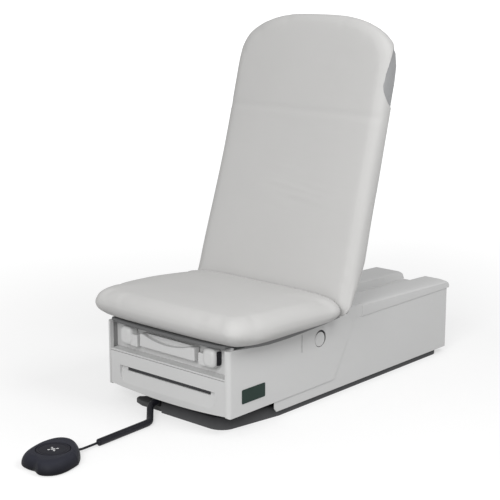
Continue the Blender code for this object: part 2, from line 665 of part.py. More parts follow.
# Backrest hinge on the head plate, and the lever arm that the actuator works
foot_z = head_high + FIT_GAP
bracket_side = [(HINGE_Y - 0.045, foot_z), (HINGE_Y + 0.045, foot_z)]
bracket_side += arc((HINGE_Y, HINGE_Z), 0.017, -20, 200, 10)
bracket = prism("x", bracket_side, BRACKET_X, BRACKET_X + BRACKET_PLATE)
bracket = cut(bracket, rod("x", (HINGE_Y, HINGE_Z), HINGE_RADIUS + PIVOT_GAP, 0.1, 0.3, 32))
pair("hinge_bracket", bracket, STEEL, 0.5, 0.6)
lever_turn = BACK_ANGLE / 2 - math.pi / 2
tip = (HINGE_Y + LEVER_RADIUS * math.cos(lever_turn), HINGE_Z + LEVER_RADIUS * math.sin(lever_turn))
across = (-math.sin(lever_turn) * 0.013, math.cos(lever_turn) * 0.013)
lever = prism("x", [(HINGE_Y + across[0], HINGE_Z + across[1]), (HINGE_Y - across[0], HINGE_Z - across[1]),
                    (tip[0] - across[0] * 0.7, tip[1] - across[1] * 0.7),
                    (tip[0] + math.cos(lever_turn) * 0.009, tip[1] + math.sin(lever_turn) * 0.009),
                    (tip[0] + across[0] * 0.7, tip[1] + across[1] * 0.7)], -LEVER_PLATE / 2, LEVER_PLATE / 2)
hinge = rod("x", (HINGE_Y, HINGE_Z), HINGE_RADIUS, -BRACKET_X - BRACKET_PLATE - 0.002,
            BRACKET_X + BRACKET_PLATE + 0.002)
hinge = join(hinge, lever, rod("x", tip, LEVER_PIN, -0.0155, 0.0155, 20))
arm_front = BACK_CORE - BACK_BOARD - 2 * FIT_GAP
for side in (-1, 1):
    near, far = sorted((side * (ARM_X - ARM_WIDTH / 2), side * (ARM_X + ARM_WIDTH / 2)))
    hinge = join(hinge, back_box(near, far, -0.014, ARM_LENGTH, arm_front - ARM_DEPTH, arm_front))
    hinge = join(hinge, back_box(near + 0.001, far - 0.001, -0.012, 0.024, arm_front - 0.004, 0.004))
piece("back_frame", hinge, STEEL, 0.5, 0.6)

# Backrest cushion and board


def back_outline(inset):
    half = BACK_HALF_WIDTH - inset
    corner_low = smaller(BACK_CORNER_LOW, inset, 0.012, half)
    corner_top = smaller(BACK_CORNER_TOP, inset * 0.6, 0.020, half)
    points = rounded_outline(half, BACK_LOWER + inset, BACK_UPPER - inset, corner_low, corner_top)
    widths = []
    for x, u in points:
        flare = BACK_FLARE_LOW * math.exp(-(max(u, 0.0) / 0.326) ** 2)
        flare += BACK_FLARE_HIGH * math.exp(-((u - 0.938) / 0.071) ** 2)
        widths.append((x * (1 + flare / BACK_HALF_WIDTH), u))
    return widths


def banded(form, places):
    """The form with its faces divided at these places up the backrest."""
    upward = Vector((0.0, math.cos(BACK_ANGLE), math.sin(BACK_ANGLE)))
    for u in places:
        bmesh.ops.bisect_plane(form, geom=form.verts[:] + form.edges[:] + form.faces[:], dist=1e-6,
                               plane_co=back_point(0.0, u, 0.0), plane_no=upward)
    return form


def pushed(form, distance):
    """Moves each point of a backrest piece towards the sitter, by a function of its u and v."""
    c, s = math.cos(BACK_ANGLE), math.sin(BACK_ANGLE)
    for vert in form.verts:
        y, z = vert.co.y - HINGE_Y, vert.co.z - HINGE_Z
        vert.co += Vector((0.0, -s, c)) * distance(y * c + z * s, z * c - y * s)
    return form


def heel_taper(u, v):
    middle = (BACK_FRONT + BACK_REAR) / 2
    share = max(0.0, (middle - v) / (middle - BACK_REAR))
    return BACK_HEEL * share * (max(0.0, BACK_HEEL_FROM - u) / (BACK_HEEL_FROM - BACK_LOWER)) ** 1.2


def bend_at(u):
    """How far forward the backrest's curve has come, in straight steps up its face."""
    length = (BACK_UPPER - BACK_BEND_FROM) / BACK_BEND_STEPS
    step, share = divmod(max(0.0, u - BACK_BEND_FROM) / length, 1)
    here, there = (BACK_BEND * (at * length) ** 1.5 for at in (step, step + 1))
    return here + (there - here) * share


def bent(form):
    """A straight piece of the backrest, cut into bands and curved with the cushion."""
    length = (BACK_UPPER - BACK_BEND_FROM) / BACK_BEND_STEPS
    banded(form, [BACK_BEND_FROM + step * length for step in range(BACK_BEND_STEPS)])
    return pushed(form, lambda u, v: bend_at(u))


cushion = pad(back_outline, BACK_REAR, BACK_FRONT, 0.052, 0.024, 2.7, BACK_CROWN, (0.09, 0.16, 0.25),
              back_point, 7)
cushion = pushed(banded(cushion, (0.0, 0.050, 0.100, BACK_HEEL_FROM)), heel_taper)
slots = [back_box(-0.030, 0.030, -0.09, 0.040, -0.08, 0.016)]
for side in (-1, 1):
    for middle, reach, front in ((ARM_X, ARM_WIDTH / 2 + 0.004, 0.016), (BRACKET_X + 0.006, 0.0105, 0.024)):
        slots.append(back_box(side * middle - reach, side * middle + reach, -0.09, 0.040, -0.08, front))
slots.append(rod("x", (HINGE_Y, HINGE_Z), HINGE_RADIUS + 0.003, -0.222, 0.222, 20))


def grip_form(grow, inner, outer):
    """The drop-shaped recess in the backrest's edge, from its rear face forwards."""
    low, high = (GRIP_BELOW + grow, GRIP_DEPTH + grow, 2.0), (GRIP_ABOVE + grow, GRIP_DEPTH + grow, 2.0)
    shape = quarter((GRIP_U, BACK_REAR), high, 0, 8) + quarter((GRIP_U, BACK_REAR), low, 90, 6)[1:]
    shape += [(shape[-1][0], BACK_REAR - 0.03), (shape[0][0], BACK_REAR - 0.03)]
    return loft([[back_point(x, u, v) for u, v in shape] for x in (inner, outer)])


grip_inner = BACK_HALF_WIDTH - 0.040
slots += [grip_form(FIT_GAP, grip_inner, 0.5), grip_form(FIT_GAP, -0.5, -grip_inner)]
insert = meet(pad(lambda inset: back_outline(inset + GRIP_INSET), BACK_REAR, BACK_FRONT, 0.052, 0.024, 2.7,
                  0.001, (0.09,), back_point), grip_form(0.0, grip_inner + FIT_GAP, 0.5))


def panel_form(grow, low, high):
    """The flat board behind the cushion, or the recess for it."""
    plan = rounded_outline(BACK_HALF_WIDTH - BACK_BOARD_INSET - 0.012 + grow, BACK_BOARD_LOWER - grow,
                           BACK_UPPER - BACK_BOARD_INSET + grow, (0.03, 0.03, 2.0),
                           smaller(BACK_CORNER_TOP, 0.020, 0.020, BACK_HALF_WIDTH - BACK_BOARD_INSET))
    return loft([[back_point(x, u, v) for x, u in plan] for v in (low, high)])


cushion = bent(cut(cushion, *slots, panel_form(FIT_GAP, BACK_CORE - 0.05, BACK_CORE)))
piece("back_cushion", cushion, VINYL, 0.6)
pair("back_grip", bent(insert), GREY, 0.5)
panel = panel_form(0.0, BACK_CORE - FIT_GAP - BACK_BOARD, BACK_CORE - FIT_GAP)
piece("back_board", bent(panel), GREY, 0.5)

# Actuator under the deck's hump, and its rod with a slotted fork round the lever's pin
barrel = rod("y", (0.0, ACTUATOR_Z), ACTUATOR_RADIUS, ACTUATOR_FRONT_Y, ACTUATOR_REAR_Y)
barrel = join(barrel, box(-0.026, 0.026, ACTUATOR_REAR_Y - 0.10, ACTUATOR_REAR_Y + 0.02,
                          ACTUATOR_Z - 0.042, ACTUATOR_Z + 0.008),
              box(-0.020, 0.020, ACTUATOR_FRONT_Y + 0.002, ACTUATOR_FRONT_Y + 0.020, foot_z,
                  ACTUATOR_Z - 0.006))
barrel = cut(barrel, rod("y", (0.0, ACTUATOR_Z), ROD_RADIUS + SLIDE_GAP / 2, 0.0, ROD_REAR_Y + 0.012))
piece("back_actuator", barrel, GREY, 0.5)
fork = box(-0.0150, 0.0150, tip[0] - FORK_HALF_LENGTH, tip[0] + FORK_HALF_LENGTH + 0.006,
           ACTUATOR_Z - FORK_HALF_HEIGHT, ACTUATOR_Z + FORK_HALF_HEIGHT)
fork = cut(fork, box(-LEVER_PLATE / 2 - SLIDE_GAP, LEVER_PLATE / 2 + SLIDE_GAP, tip[0] - 0.05,
                     tip[0] + FORK_HALF_LENGTH, 0.2, 0.4),
           box(-LEVER_PLATE / 2 - SLIDE_GAP, LEVER_PLATE / 2 + SLIDE_GAP, tip[0], tip[0] + 0.05,
               ACTUATOR_Z + ROD_RADIUS + 0.001, 0.4),
           box(-0.05, 0.05, tip[0] - FORK_SLOT_HALF_WIDTH, tip[0] + FORK_SLOT_HALF_WIDTH,
               ACTUATOR_Z - FORK_SLOT_HALF_HEIGHT, ACTUATOR_Z + FORK_SLOT_HALF_HEIGHT))
fork = join(fork, rod("y", (0.0, ACTUATOR_Z), ROD_RADIUS, tip[0] + FORK_HALF_LENGTH + 0.002, ROD_REAR_Y, 20))
piece("back_actuator_rod", fork, STEEL, 0.3, 0.9)
box_edge = -FRAME_RAIL_IN + FIT_GAP
electronics = box(box_edge, box_edge + 0.120, 0.240, 0.420, FRAME_TOP_Z - 0.085, FRAME_TOP_Z - 0.004,
                  0.003, 1)
piece("control_box", electronics, GREY, 0.5)

# Front compartment: shelf, fascia, foot board with its tray, stirrups with their guides
shelf = box(-HALF + COLUMN_FACE + FIT_GAP, HALF - COLUMN_FACE - FIT_GAP, BODY_FRONT_Y + 0.001, SHELF_REAR_Y,
            SHELF_TOP_Z - SHELF_THICK, SHELF_TOP_Z)
piece("front_shelf", shelf, LIGHT, 0.45)
tray_low = FRAME_TOP_Z + FIT_GAP
board_z = tray_low + TRAY_THICK + SLIDE_GAP
bar_z = tray_low + STIRRUP_TUBE / 2
fascia = box(-COVER_INNER + 0.010, COVER_INNER - 0.010, FASCIA_Y, FASCIA_Y + FASCIA_THICK,
             SHELF_TOP_Z + FIT_GAP, board_low - FIT_GAP)
holes = [box(-BOARD_HALF_WIDTH - 0.002, BOARD_HALF_WIDTH + 0.002, -0.7, -0.5, board_z - 0.003,
             board_z + BOARD_THICK + 0.003)]
for side in (-1, 1):
    reach = STIRRUP_BAR / 2 + 0.002
    holes.append(box(side * STIRRUP_X - reach, side * STIRRUP_X + reach, -0.7, -0.5,
                     bar_z - reach, bar_z + reach))
piece("front_fascia", cut(fascia, *holes), LIGHT, 0.5)
tray_half = BOARD_HALF_WIDTH + SLIDE_GAP
tray_front = FASCIA_Y + FASCIA_THICK + FIT_GAP
tray = box(-tray_half - TRAY_THICK, tray_half + TRAY_THICK, tray_front, CROSS_FRONT_Y + 0.010, tray_low,
           board_z + BOARD_THICK + SLIDE_GAP + TRAY_THICK)
tray = cut(tray, box(-tray_half, tray_half, -0.7, -0.2, tray_low + TRAY_THICK,
                     board_z + BOARD_THICK + SLIDE_GAP),
           box(-tray_half + 0.016, tray_half - 0.016, -0.7, -0.2, tray_low + 0.01, 0.4))
piece("foot_board_tray", tray, STEEL, 0.5, 0.6)
foot_board = box(-BOARD_HALF_WIDTH, BOARD_HALF_WIDTH, FASCIA_Y - SLIDE_GAP - 0.002, BOARD_REAR_Y, board_z,
                 board_z + BOARD_THICK)
piece("foot_board", foot_board, LIGHT, 0.5)
front_low = FASCIA_Y - SLIDE_GAP - 0.002 - FIT_GAP
face = box(-FOOT_FRONT_HALF_WIDTH, FOOT_FRONT_HALF_WIDTH, FOOT_FRONT_Y, front_low, FOOT_FRONT_BOTTOM_Z,
           FOOT_FRONT_TOP_Z, 0.006, 3)
dip_half = FOOT_FRONT_HALF_WIDTH - 0.018
dip_radius = (dip_half ** 2 + FOOT_DIP ** 2) / (2 * FOOT_DIP)
dip_middle = (0.0, FOOT_FRONT_TOP_Z - FOOT_DIP + dip_radius)
face = cut(face, rod("y", dip_middle, dip_radius, FOOT_FRONT_Y - 0.01, FOOT_FRONT_Y + FOOT_RIM, 160))
piece("foot_board_front", face, LIGHT, 0.5)
guide = box(STIRRUP_X - STIRRUP_TUBE / 2, STIRRUP_X + STIRRUP_TUBE / 2, tray_front, CROSS_FRONT_Y + 0.010,
            tray_low, tray_low + STIRRUP_TUBE)
bore = STIRRUP_BAR / 2 + SLIDE_GAP / 2
guide = cut(guide, box(STIRRUP_X - bore, STIRRUP_X + bore, -0.7, 0.0, bar_z - bore, bar_z + bore))
pair("stirrup_guide", guide, STEEL, 0.5, 0.6)
cup_rear = FASCIA_Y - SLIDE_GAP
bar = box(STIRRUP_X - STIRRUP_BAR / 2, STIRRUP_X + STIRRUP_BAR / 2, cup_rear - 0.002, STIRRUP_REAR_Y,
          bar_z - STIRRUP_BAR / 2, bar_z + STIRRUP_BAR / 2)
pair("stirrup_bar", bar, STEEL, 0.3, 0.9)
cup_in, cup_out = STIRRUP_X - CUP_WIDTH / 2, STIRRUP_X + CUP_WIDTH / 2
cup_top = CUP_BOTTOM_Z + CUP_HEIGHT
knob_shape = arc((cup_out - 0.030, CUP_BOTTOM_Z + 0.012), 0.012, -90, -10, 4)
knob_shape += arc((cup_out - 0.034, cup_top - 0.014), 0.014, 10, 95, 5)
knob_shape += arc((cup_in + CUP_POST + 0.014, cup_top - 0.032), 0.016, 125, 180, 4)
knob_shape += arc((cup_in + CUP_POST + 0.004, CUP_BOTTOM_Z + 0.006), 0.006, 180, 270, 3)
cup_end = cup_rear - 0.002 - FIT_GAP
knob = prism("y", knob_shape, CUP_FRONT_Y, cup_end)
bevel(knob, [e for e in knob.edges if all(v.co.y < CUP_FRONT_Y + 0.001 for v in e.verts)], 0.008, 3)
post = box(cup_in, cup_in + CUP_POST + 0.006, CUP_FRONT_Y + 0.009, cup_end - 0.001, CUP_BOTTOM_Z + 0.0005,
           cup_top - CUP_POST_DROP, 0.003, 2)
cup = join(knob, post)
pair("stirrup_cup", cup, LIGHT, 0.45)

# Drawer: a scooped front with a finger slot, an open box and two runners
front_y = BODY_FRONT_Y + 0.0006
panel_half = HALF - COLUMN_FACE - SLIDE_GAP
panel_shape = [(panel_half * i / 8, DRAWER_BOTTOM_Z + DRAWER_BOW * (i / 8) ** 2) for i in range(-8, 9)]
panel_shape += [(panel_half, DRAWER_TOP_Z), (-panel_half, DRAWER_TOP_Z)]
drawer_front = prism("y", panel_shape, front_y, front_y + DRAWER_PANEL)
scoop_side = [(front_y - 0.01, PULL_TOP_Z), (front_y + SCOOP_DEPTH, PULL_TOP_Z),
              (front_y + SCOOP_DEPTH, PULL_TOP_Z - PULL_SLOT), (front_y - 0.01, SCOOP_BOTTOM_Z - 0.012)]
scoop_corner = (SCOOP_CORNER, SCOOP_CORNER, 2.0)
scoop_plan = rounded_outline(SCOOP_HALF_WIDTH, SCOOP_BOTTOM_Z - 0.010, PULL_TOP_Z, scoop_corner,
                             (0.003, 0.003, 2.0), 7, 0)
scoop = meet(prism("x", scoop_side, -0.3, 0.3), prism("y", scoop_plan, front_y - 0.005, front_y + 0.05))
slot = box(-PULL_HALF_WIDTH, PULL_HALF_WIDTH, front_y - 0.01, front_y + DRAWER_PANEL + 0.02,
           PULL_TOP_Z - PULL_SLOT, PULL_TOP_Z - 0.0005)
drawer_front = cut(drawer_front, scoop, slot.copy())
piece("drawer_front", drawer_front, LIGHT, 0.42)
box_front = front_y + DRAWER_PANEL + FIT_GAP
drawer_box = box(-DRAWER_BOX_HALF_WIDTH, DRAWER_BOX_HALF_WIDTH, box_front, DRAWER_BOX_REAR_Y,
                 DRAWER_BOX_BOTTOM_Z, DRAWER_BOX_TOP_Z)
inside = DRAWER_BOX_HALF_WIDTH - DRAWER_WALL
drawer_box = cut(drawer_box, box(-inside, inside, box_front + DRAWER_WALL, DRAWER_BOX_REAR_Y - DRAWER_WALL,
                                 DRAWER_BOX_BOTTOM_Z + DRAWER_WALL, 0.4), slot)
piece("drawer_box", drawer_box, LIGHT, 0.5)
runner_in = DRAWER_BOX_HALF_WIDTH + FIT_GAP
runner_out = runner_in + RUNNER_THICK
pair("drawer_runner", box(runner_in, runner_out, box_front + 0.02, DRAWER_BOX_REAR_Y, RUNNER_Z,
                          RUNNER_Z + RUNNER_HEIGHT), STEEL, 0.4, 0.8)
web_in, web_out = runner_out + SLIDE_GAP, runner_out + SLIDE_GAP + 0.003
lip = runner_in + 0.002
slide_low, slide_high = RUNNER_Z - SLIDE_GAP, RUNNER_Z + RUNNER_HEIGHT + SLIDE_GAP
hang = FRAME_BOTTOM_Z
slide_section = [(web_out, slide_low - 0.003), (web_out, hang - 0.004), (FRAME_RAIL_OUT, hang - 0.004),
                 (FRAME_RAIL_OUT, hang), (web_in, hang), (web_in, slide_high + 0.003),
                 (lip, slide_high + 0.003), (lip, slide_high), (web_in, slide_high), (web_in, slide_low),
                 (lip, slide_low), (lip, slide_low - 0.003)]
channel = prism("y", slide_section, SHELF_REAR_Y + FIT_GAP, DRAWER_BOX_REAR_Y - 0.004)
pair("drawer_slide", channel, STEEL, 0.4, 0.8)

# Foot control on the floor


def eased(share):
    share = max(0.0, min(1.0, share))
    return share * share * (3 - 2 * share)


def control_plan(inset):
    """A pebble, squarer in front, narrower and drawn to the left behind, with a step in its front edge."""
    points = []
    for i in range(40):
        angle = 2 * math.pi * i / 40
        c, s = math.cos(angle), math.sin(angle)
        power = 2.2 if s > 0 else 3.0
        size = (abs(c) ** power + abs(s) ** power) ** (-1 / power)
        y = (CONTROL_HALF_LENGTH - inset) * size * s
        back = max(0.0, y / CONTROL_HALF_LENGTH)
        x = (CONTROL_HALF_WIDTH - inset) * size * c * (1 - 0.26 * back) - 0.020 * back
        if y < 0:
            y *= 1 - CONTROL_STEP * eased((0.022 - x) / 0.040)
        points.append((x, y))
    return points


def control_point(x, y, z):
    c, s = math.cos(CONTROL_TURN), math.sin(CONTROL_TURN)
    return Vector((CONTROL_X + x * c - y * s, CONTROL_Y + x * s + y * c, z))


def control_form(pairs):
    return loft([[control_point(x, y, z) for x, y in control_plan(inset)] for inset, z in pairs])


piece("control_sole", control_form(((0.008, 0.0), (0.008, SOLE_THICK - FIT_GAP))), DARK, 0.8)
shell = control_form(((0.006, SOLE_THICK), (0.0, SOLE_THICK + 0.005), (0.003, 0.020), (0.010, 0.031),
                      (0.019, 0.039), (0.028, CONTROL_TOP_Z)))
pad_centre = control_point(0.0, -0.004, 0.0)
well_low = CONTROL_TOP_Z - PAD_WELL
shell = cut(shell, turned("z", (pad_centre.x, pad_centre.y),
                          [(well_low, PAD_RADIUS + 0.004), (0.1, PAD_RADIUS + 0.004)], 36))
piece("control_housing", shell, DARK, 0.55)
gimbal_low = well_low + FIT_GAP
piece("control_gimbal", turned("z", (pad_centre.x, pad_centre.y),
                               [(gimbal_low, 0.004), (gimbal_low + 0.005, 0.006)], 20), STEEL, 0.4, 0.8)
pad_low = gimbal_low + 0.005 + 0.0006
pad_section = [(pad_low, 0.016), (pad_low + 0.003, PAD_RADIUS - 0.003), (pad_low + PAD_THICK, PAD_RADIUS),
               (pad_low + PAD_THICK + 0.002, PAD_RADIUS - 0.003)]
piece("control_pad", turned("z", (pad_centre.x, pad_centre.y), pad_section, 36), DARK, 0.7)


def walked_route(start, heading, stretches):
    """Plan points of a cord: each stretch is its length, its turn in degrees and its number of steps."""
    x, y = start
    points = [(x, y)]
    for length, turn, count in stretches:
        for _ in range(count):
            heading += turn / count / 2
            x += math.sin(math.radians(heading)) * length / count
            y -= math.cos(math.radians(heading)) * length / count
            heading += turn / count / 2
            points.append((x, y))
    return points


def cable(name, route, diameter, colour):
    """A round cord along a route, as a curve with closed ends."""
    curve = bpy.data.curves.new(name, "CURVE")
    curve.dimensions = "3D"
    line = curve.splines.new("POLY")
    line.points.add(len(route) - 1)
    for point, place in zip(line.points, route):
        point.co = (*place, 1.0)
    curve.bevel_depth = diameter / 2
    curve.bevel_resolution = 3
    curve.use_fill_caps = True
    curve.materials.append(look(name, colour, 0.6))
    obj = bpy.data.objects.new(name, curve)
    bpy.context.scene.collection.objects.link(obj)


sleeve_z = SLEEVE_DIAMETER / 2 + 0.0005
gland_y = BASE_FRONT_Y + 0.010
sleeve_start = Vector((NOTCH_RIGHT_X - 0.020, gland_y - 0.012 - FIT_GAP, FOOT_PLATE_Z + 0.018))
bend = SLEEVE_BEND * math.radians(1)
sleeve_plan = walked_route(sleeve_start[:2], 0.0, [(0.010, 0, 2), (bend * 45, 45, 8), (0.0724, 0, 6),
                                                   (bend * 42, -42, 8), (0.2212, 0, 14)])
sleeve_route = []
for x, y in sleeve_plan:
    share = eased(math.dist((x, y), sleeve_start[:2]) / 0.115)
    sleeve_route.append(Vector((x, y, sleeve_start.z + (sleeve_z - sleeve_start.z) * share)))
cable("cord_sleeve", sleeve_route, SLEEVE_DIAMETER, DARK)
bend = CORD_BEND * math.radians(1)
cord_start = (sleeve_plan[-1][0], sleeve_plan[-1][1] - FIT_GAP)
cord_plan = walked_route(cord_start, 3.0, [(bend * 2, 2, 1), (0.07395, 0, 9), (bend * 26, -26, 6)])
cord_route = []
for i, (x, y) in enumerate(cord_plan):
    share = eased(i / (len(cord_plan) - 1))
    cord_route.append(Vector((x, y, sleeve_z + (CORD_ENTRY_Z - sleeve_z) * share)))
cable("control_cord", cord_route, CORD_DIAMETER, DARK)
gland = turned("y", (sleeve_start.x, sleeve_start.z), [(gland_y - 0.012, 0.015), (gland_y, 0.015),
                                                     (gland_y + 0.030, 0.013)], 24)
gland = join(gland, box(sleeve_start.x - 0.018, sleeve_start.x + 0.0175, gland_y + 0.004, gland_y + 0.034,
                        FOOT_PLATE_Z + FIT_GAP, sleeve_start.z))
piece("cord_gland", gland, DARK, 0.6)
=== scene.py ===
# %% [markdown]
# # A powered examination chair, dressed from its solid model
#
# The solid model gives every piece its place and says how the pieces move. This lesson loads it as a
# fixed frame and dresses it: upholstery that is blown up like the real foam and vinyl, moulded covers
# with rounded edges, a foot control on its cord, and a finish for each material.

# %% The frame
import json
import math

import bmesh
import bpy
from mathutils import Matrix, Vector, noise


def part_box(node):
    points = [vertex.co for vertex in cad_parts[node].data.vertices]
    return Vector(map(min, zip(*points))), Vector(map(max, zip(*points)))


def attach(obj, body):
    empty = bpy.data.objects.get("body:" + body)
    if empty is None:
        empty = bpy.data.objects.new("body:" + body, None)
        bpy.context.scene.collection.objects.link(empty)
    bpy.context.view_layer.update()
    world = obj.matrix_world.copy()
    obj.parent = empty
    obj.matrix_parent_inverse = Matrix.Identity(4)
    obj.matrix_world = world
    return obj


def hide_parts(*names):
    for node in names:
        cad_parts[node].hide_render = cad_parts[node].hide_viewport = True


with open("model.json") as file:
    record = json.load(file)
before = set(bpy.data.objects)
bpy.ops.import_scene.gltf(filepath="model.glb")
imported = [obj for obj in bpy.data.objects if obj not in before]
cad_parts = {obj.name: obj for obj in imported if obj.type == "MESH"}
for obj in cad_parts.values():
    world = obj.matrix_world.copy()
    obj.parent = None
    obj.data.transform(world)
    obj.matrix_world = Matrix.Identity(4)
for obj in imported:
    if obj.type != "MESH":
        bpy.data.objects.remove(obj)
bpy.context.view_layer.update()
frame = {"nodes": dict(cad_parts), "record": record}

scene = bpy.context.scene

# %% [markdown]
# ## Camera
#
# The viewpoint is standing height, in front of the chair and to one side, with a long lens so that the
# upright lines stay nearly parallel. Its place and turn are plain numbers, so nothing depends on the
# size of the picture.

# %% Camera
EYE = (3.01862, -3.60391, 1.54441)
EYE_DROP, EYE_TURN = 12.7624, 41.666  # degrees

scene.view_settings.view_transform = "Standard"
lens = bpy.data.cameras.new("camera")
lens.lens = 93.6
lens.sensor_width = 36.0
lens.clip_end = 300.0
eye = bpy.data.objects.new("camera", lens)
eye.location = EYE
eye.rotation_euler = (math.radians(90 - EYE_DROP), 0.0, math.radians(EYE_TURN))
scene.collection.objects.link(eye)
scene.camera = eye
print("camera:", [round(c, 3) for c in eye.location], "lens", lens.lens)


# %% [markdown]
# ## Shader maths as Python
#
# A finish is a small network of shader nodes. Written node by node it hides the idea, so one class wraps
# a socket: arithmetic on two of them adds a Math node, and `make` adds any other node.

# %% Sockets that do arithmetic
class Wire:
    """An output socket of a shader tree."""

    def __init__(self, tree, socket=None):
        self.tree = tree
        self.socket = socket

    def make(self, kind, settings=None, values=None, out=0):
        node = self.tree.nodes.new(kind)
        for name, setting in (settings or {}).items():
            if name == "stops":
                self.set_stops(node.color_ramp, setting)
            else:
                setattr(node, name, setting)
        for name, value in (values or {}).items():
            if isinstance(value, Wire):
                self.tree.links.new(value.socket, node.inputs[name])
            else:
                node.inputs[name].default_value = value
        return Wire(self.tree, node.outputs[out])

    @staticmethod
    def set_stops(ramp, stops):
        while len(ramp.elements) < len(stops):
            ramp.elements.new(0.5)
        for element, (place, shade) in zip(ramp.elements, stops):
            element.position = place
            element.color = (shade, shade, shade, 1.0)

    def maths(self, operation, first, second):
        return self.make("ShaderNodeMath", {"operation": operation}, {0: first, 1: second})

    def __add__(self, other):
        return self.maths("ADD", self, other)

    def __sub__(self, other):
        return self.maths("SUBTRACT", self, other)

    def __rsub__(self, other):
        return self.maths("SUBTRACT", other, self)

    def __mul__(self, other):
        return self.maths("MULTIPLY", self, other)

    __radd__ = __add__
    __rmul__ = __mul__


print("sockets can be added and multiplied")


# %% Nodes that the finishes share
def ramp(wire, *stops):
    return wire.make("ShaderNodeValToRGB", {"stops": stops}, {"Fac": wire})


def blend_colour(wire, factor, first, second):
    settings = {"data_type": "RGBA"}
    return wire.make("ShaderNodeMix", settings, {0: factor, 6: (*first, 1.0), 7: (*second, 1.0)}, out=2)


def fine_noise(place, scale, detail=3.0, roughness=0.55):
    return place.make("ShaderNodeTexNoise", None,
                      {"Vector": place, "Scale": scale, "Detail": detail, "Roughness": roughness})


def stretched(place, scale):
    return place.make("ShaderNodeMapping", None, {"Vector": place, "Scale": scale})


def bump(height, strength, distance, under=None):
    values = {"Height": height, "Strength": strength, "Distance": distance}
    if under:
        values["Normal"] = under
    return height.make("ShaderNodeBump", None, values)


def new_finish(name):
    """A material, the wire of its object coordinates and its shader node."""
    made = bpy.data.materials.new(name)
    made.use_nodes = True
    tree = made.node_tree
    place = Wire(tree).make("ShaderNodeTexCoord", out=3)
    return made, place, tree.nodes["Principled BSDF"]


def plug(shader, **values):
    """Sets or links the shader's inputs; an underscore stands for a space."""
    for name, value in values.items():
        socket = shader.inputs[name.replace("_", " ")]
        if isinstance(value, Wire):
            value.tree.links.new(value.socket, socket)
        else:
            socket.default_value = value


print("shader helpers ready")

# %% [markdown]
# ## Floor and light
#
# The floor is a very wide pale disc: its far edge lies beyond the picture, so it is also the backdrop. It
# glows a little, but only for camera, mirror and glass rays. So the background turns white while the lamps
# stay at a plain level, and the soft shadow is kept. Two wide lamps and a pale world give studio light.

# %% Floor
FLOOR_RADIUS = 90.0
FLOOR_EMISSION = 4.7
GLOW_SHARE = 0.125
WHITE = (1.0, 1.0, 1.0, 1.0)


def loose_object(name, form):
    """Turns a bmesh into an object of the scene."""
    mesh = bpy.data.meshes.new(name)
    form.to_mesh(mesh)
    form.free()
    obj = bpy.data.objects.new(name, mesh)
    scene.collection.objects.link(obj)
    return obj


def floor_finish():
    """A pale floor that glows for the rays that show it, more so at 3.5 and at 10 metres."""
    made, place, shader = new_finish("studio_floor")
    tree = made.node_tree
    rays = place.make("ShaderNodeLightPath").socket.node.outputs
    shown = Wire(tree, rays["Is Camera Ray"]) + Wire(tree, rays["Is Glossy Ray"])
    shown = shown + Wire(tree, rays["Is Transmission Ray"])
    mottle = fine_noise(place, 0.6)
    far = place.make("ShaderNodeVectorMath", {"operation": "LENGTH"}, {0: place}, out=1)
    share = ramp(far * 0.1, (0.10, GLOW_SHARE), (0.35, 1.5 * GLOW_SHARE), (1.0, 1.8 * GLOW_SHARE))
    plug(shader, Base_Color=blend_colour(place, mottle, (0.46, 0.46, 0.46), (0.48, 0.48, 0.48)),
         Roughness=0.9, Specular_IOR_Level=0.1)
    glow = place.make("ShaderNodeEmission", None, {"Color": WHITE, "Strength": FLOOR_EMISSION})
    mixed = place.make("ShaderNodeMixShader", None,
                       {0: shown * share, 1: Wire(tree, shader.outputs[0]), 2: glow})
    tree.links.new(mixed.socket, tree.nodes["Material Output"].inputs["Surface"])
    return made


disc = bmesh.new()
bmesh.ops.create_circle(disc, cap_ends=True, segments=96, radius=FLOOR_RADIUS)
floor = loose_object("floor", disc)
floor.data.materials.append(floor_finish())
print("floor of radius", FLOOR_RADIUS, "m")


# %% World and lamps
def soft_lamp(name, place, target, width, power):
    lamp = bpy.data.lights.new(name, "AREA")
    lamp.shape = "SQUARE"
    lamp.size = width
    lamp.energy = power
    obj = bpy.data.objects.new(name, lamp)
    obj.location = place
    obj.rotation_euler = (Vector(target) - Vector(place)).to_track_quat("-Z", "Y").to_euler()
    scene.collection.objects.link(obj)


world = bpy.data.worlds.new("studio")
world.use_nodes = True
background = world.node_tree.nodes["Background"].inputs
background["Color"].default_value = WHITE
background["Strength"].default_value = 0.50
scene.world = world
soft_lamp("key", (2.8, 0.1, 3.3), target=(0.0, 0.0, 0.5), width=1.6, power=54.0)
soft_lamp("front", (1.8, -4.3, 2.6), target=(0.0, -0.3, 0.5), width=2.0, power=116.0)
print("lamps:", len(bpy.data.lights))

# %% [markdown]
# ## Finishes
#
# Each finish has a colour that wanders slightly, a roughness that isn't the same everywhere and a fine
# relief: the pebbled grain of vinyl, the spark-eroded texture of moulded plastic, the orange peel of
# powder coat, the long scratches of brushed steel. All of them read Object coordinates in metres, so a
# scale of 600 is a pattern about 1.7 mm across on every piece.


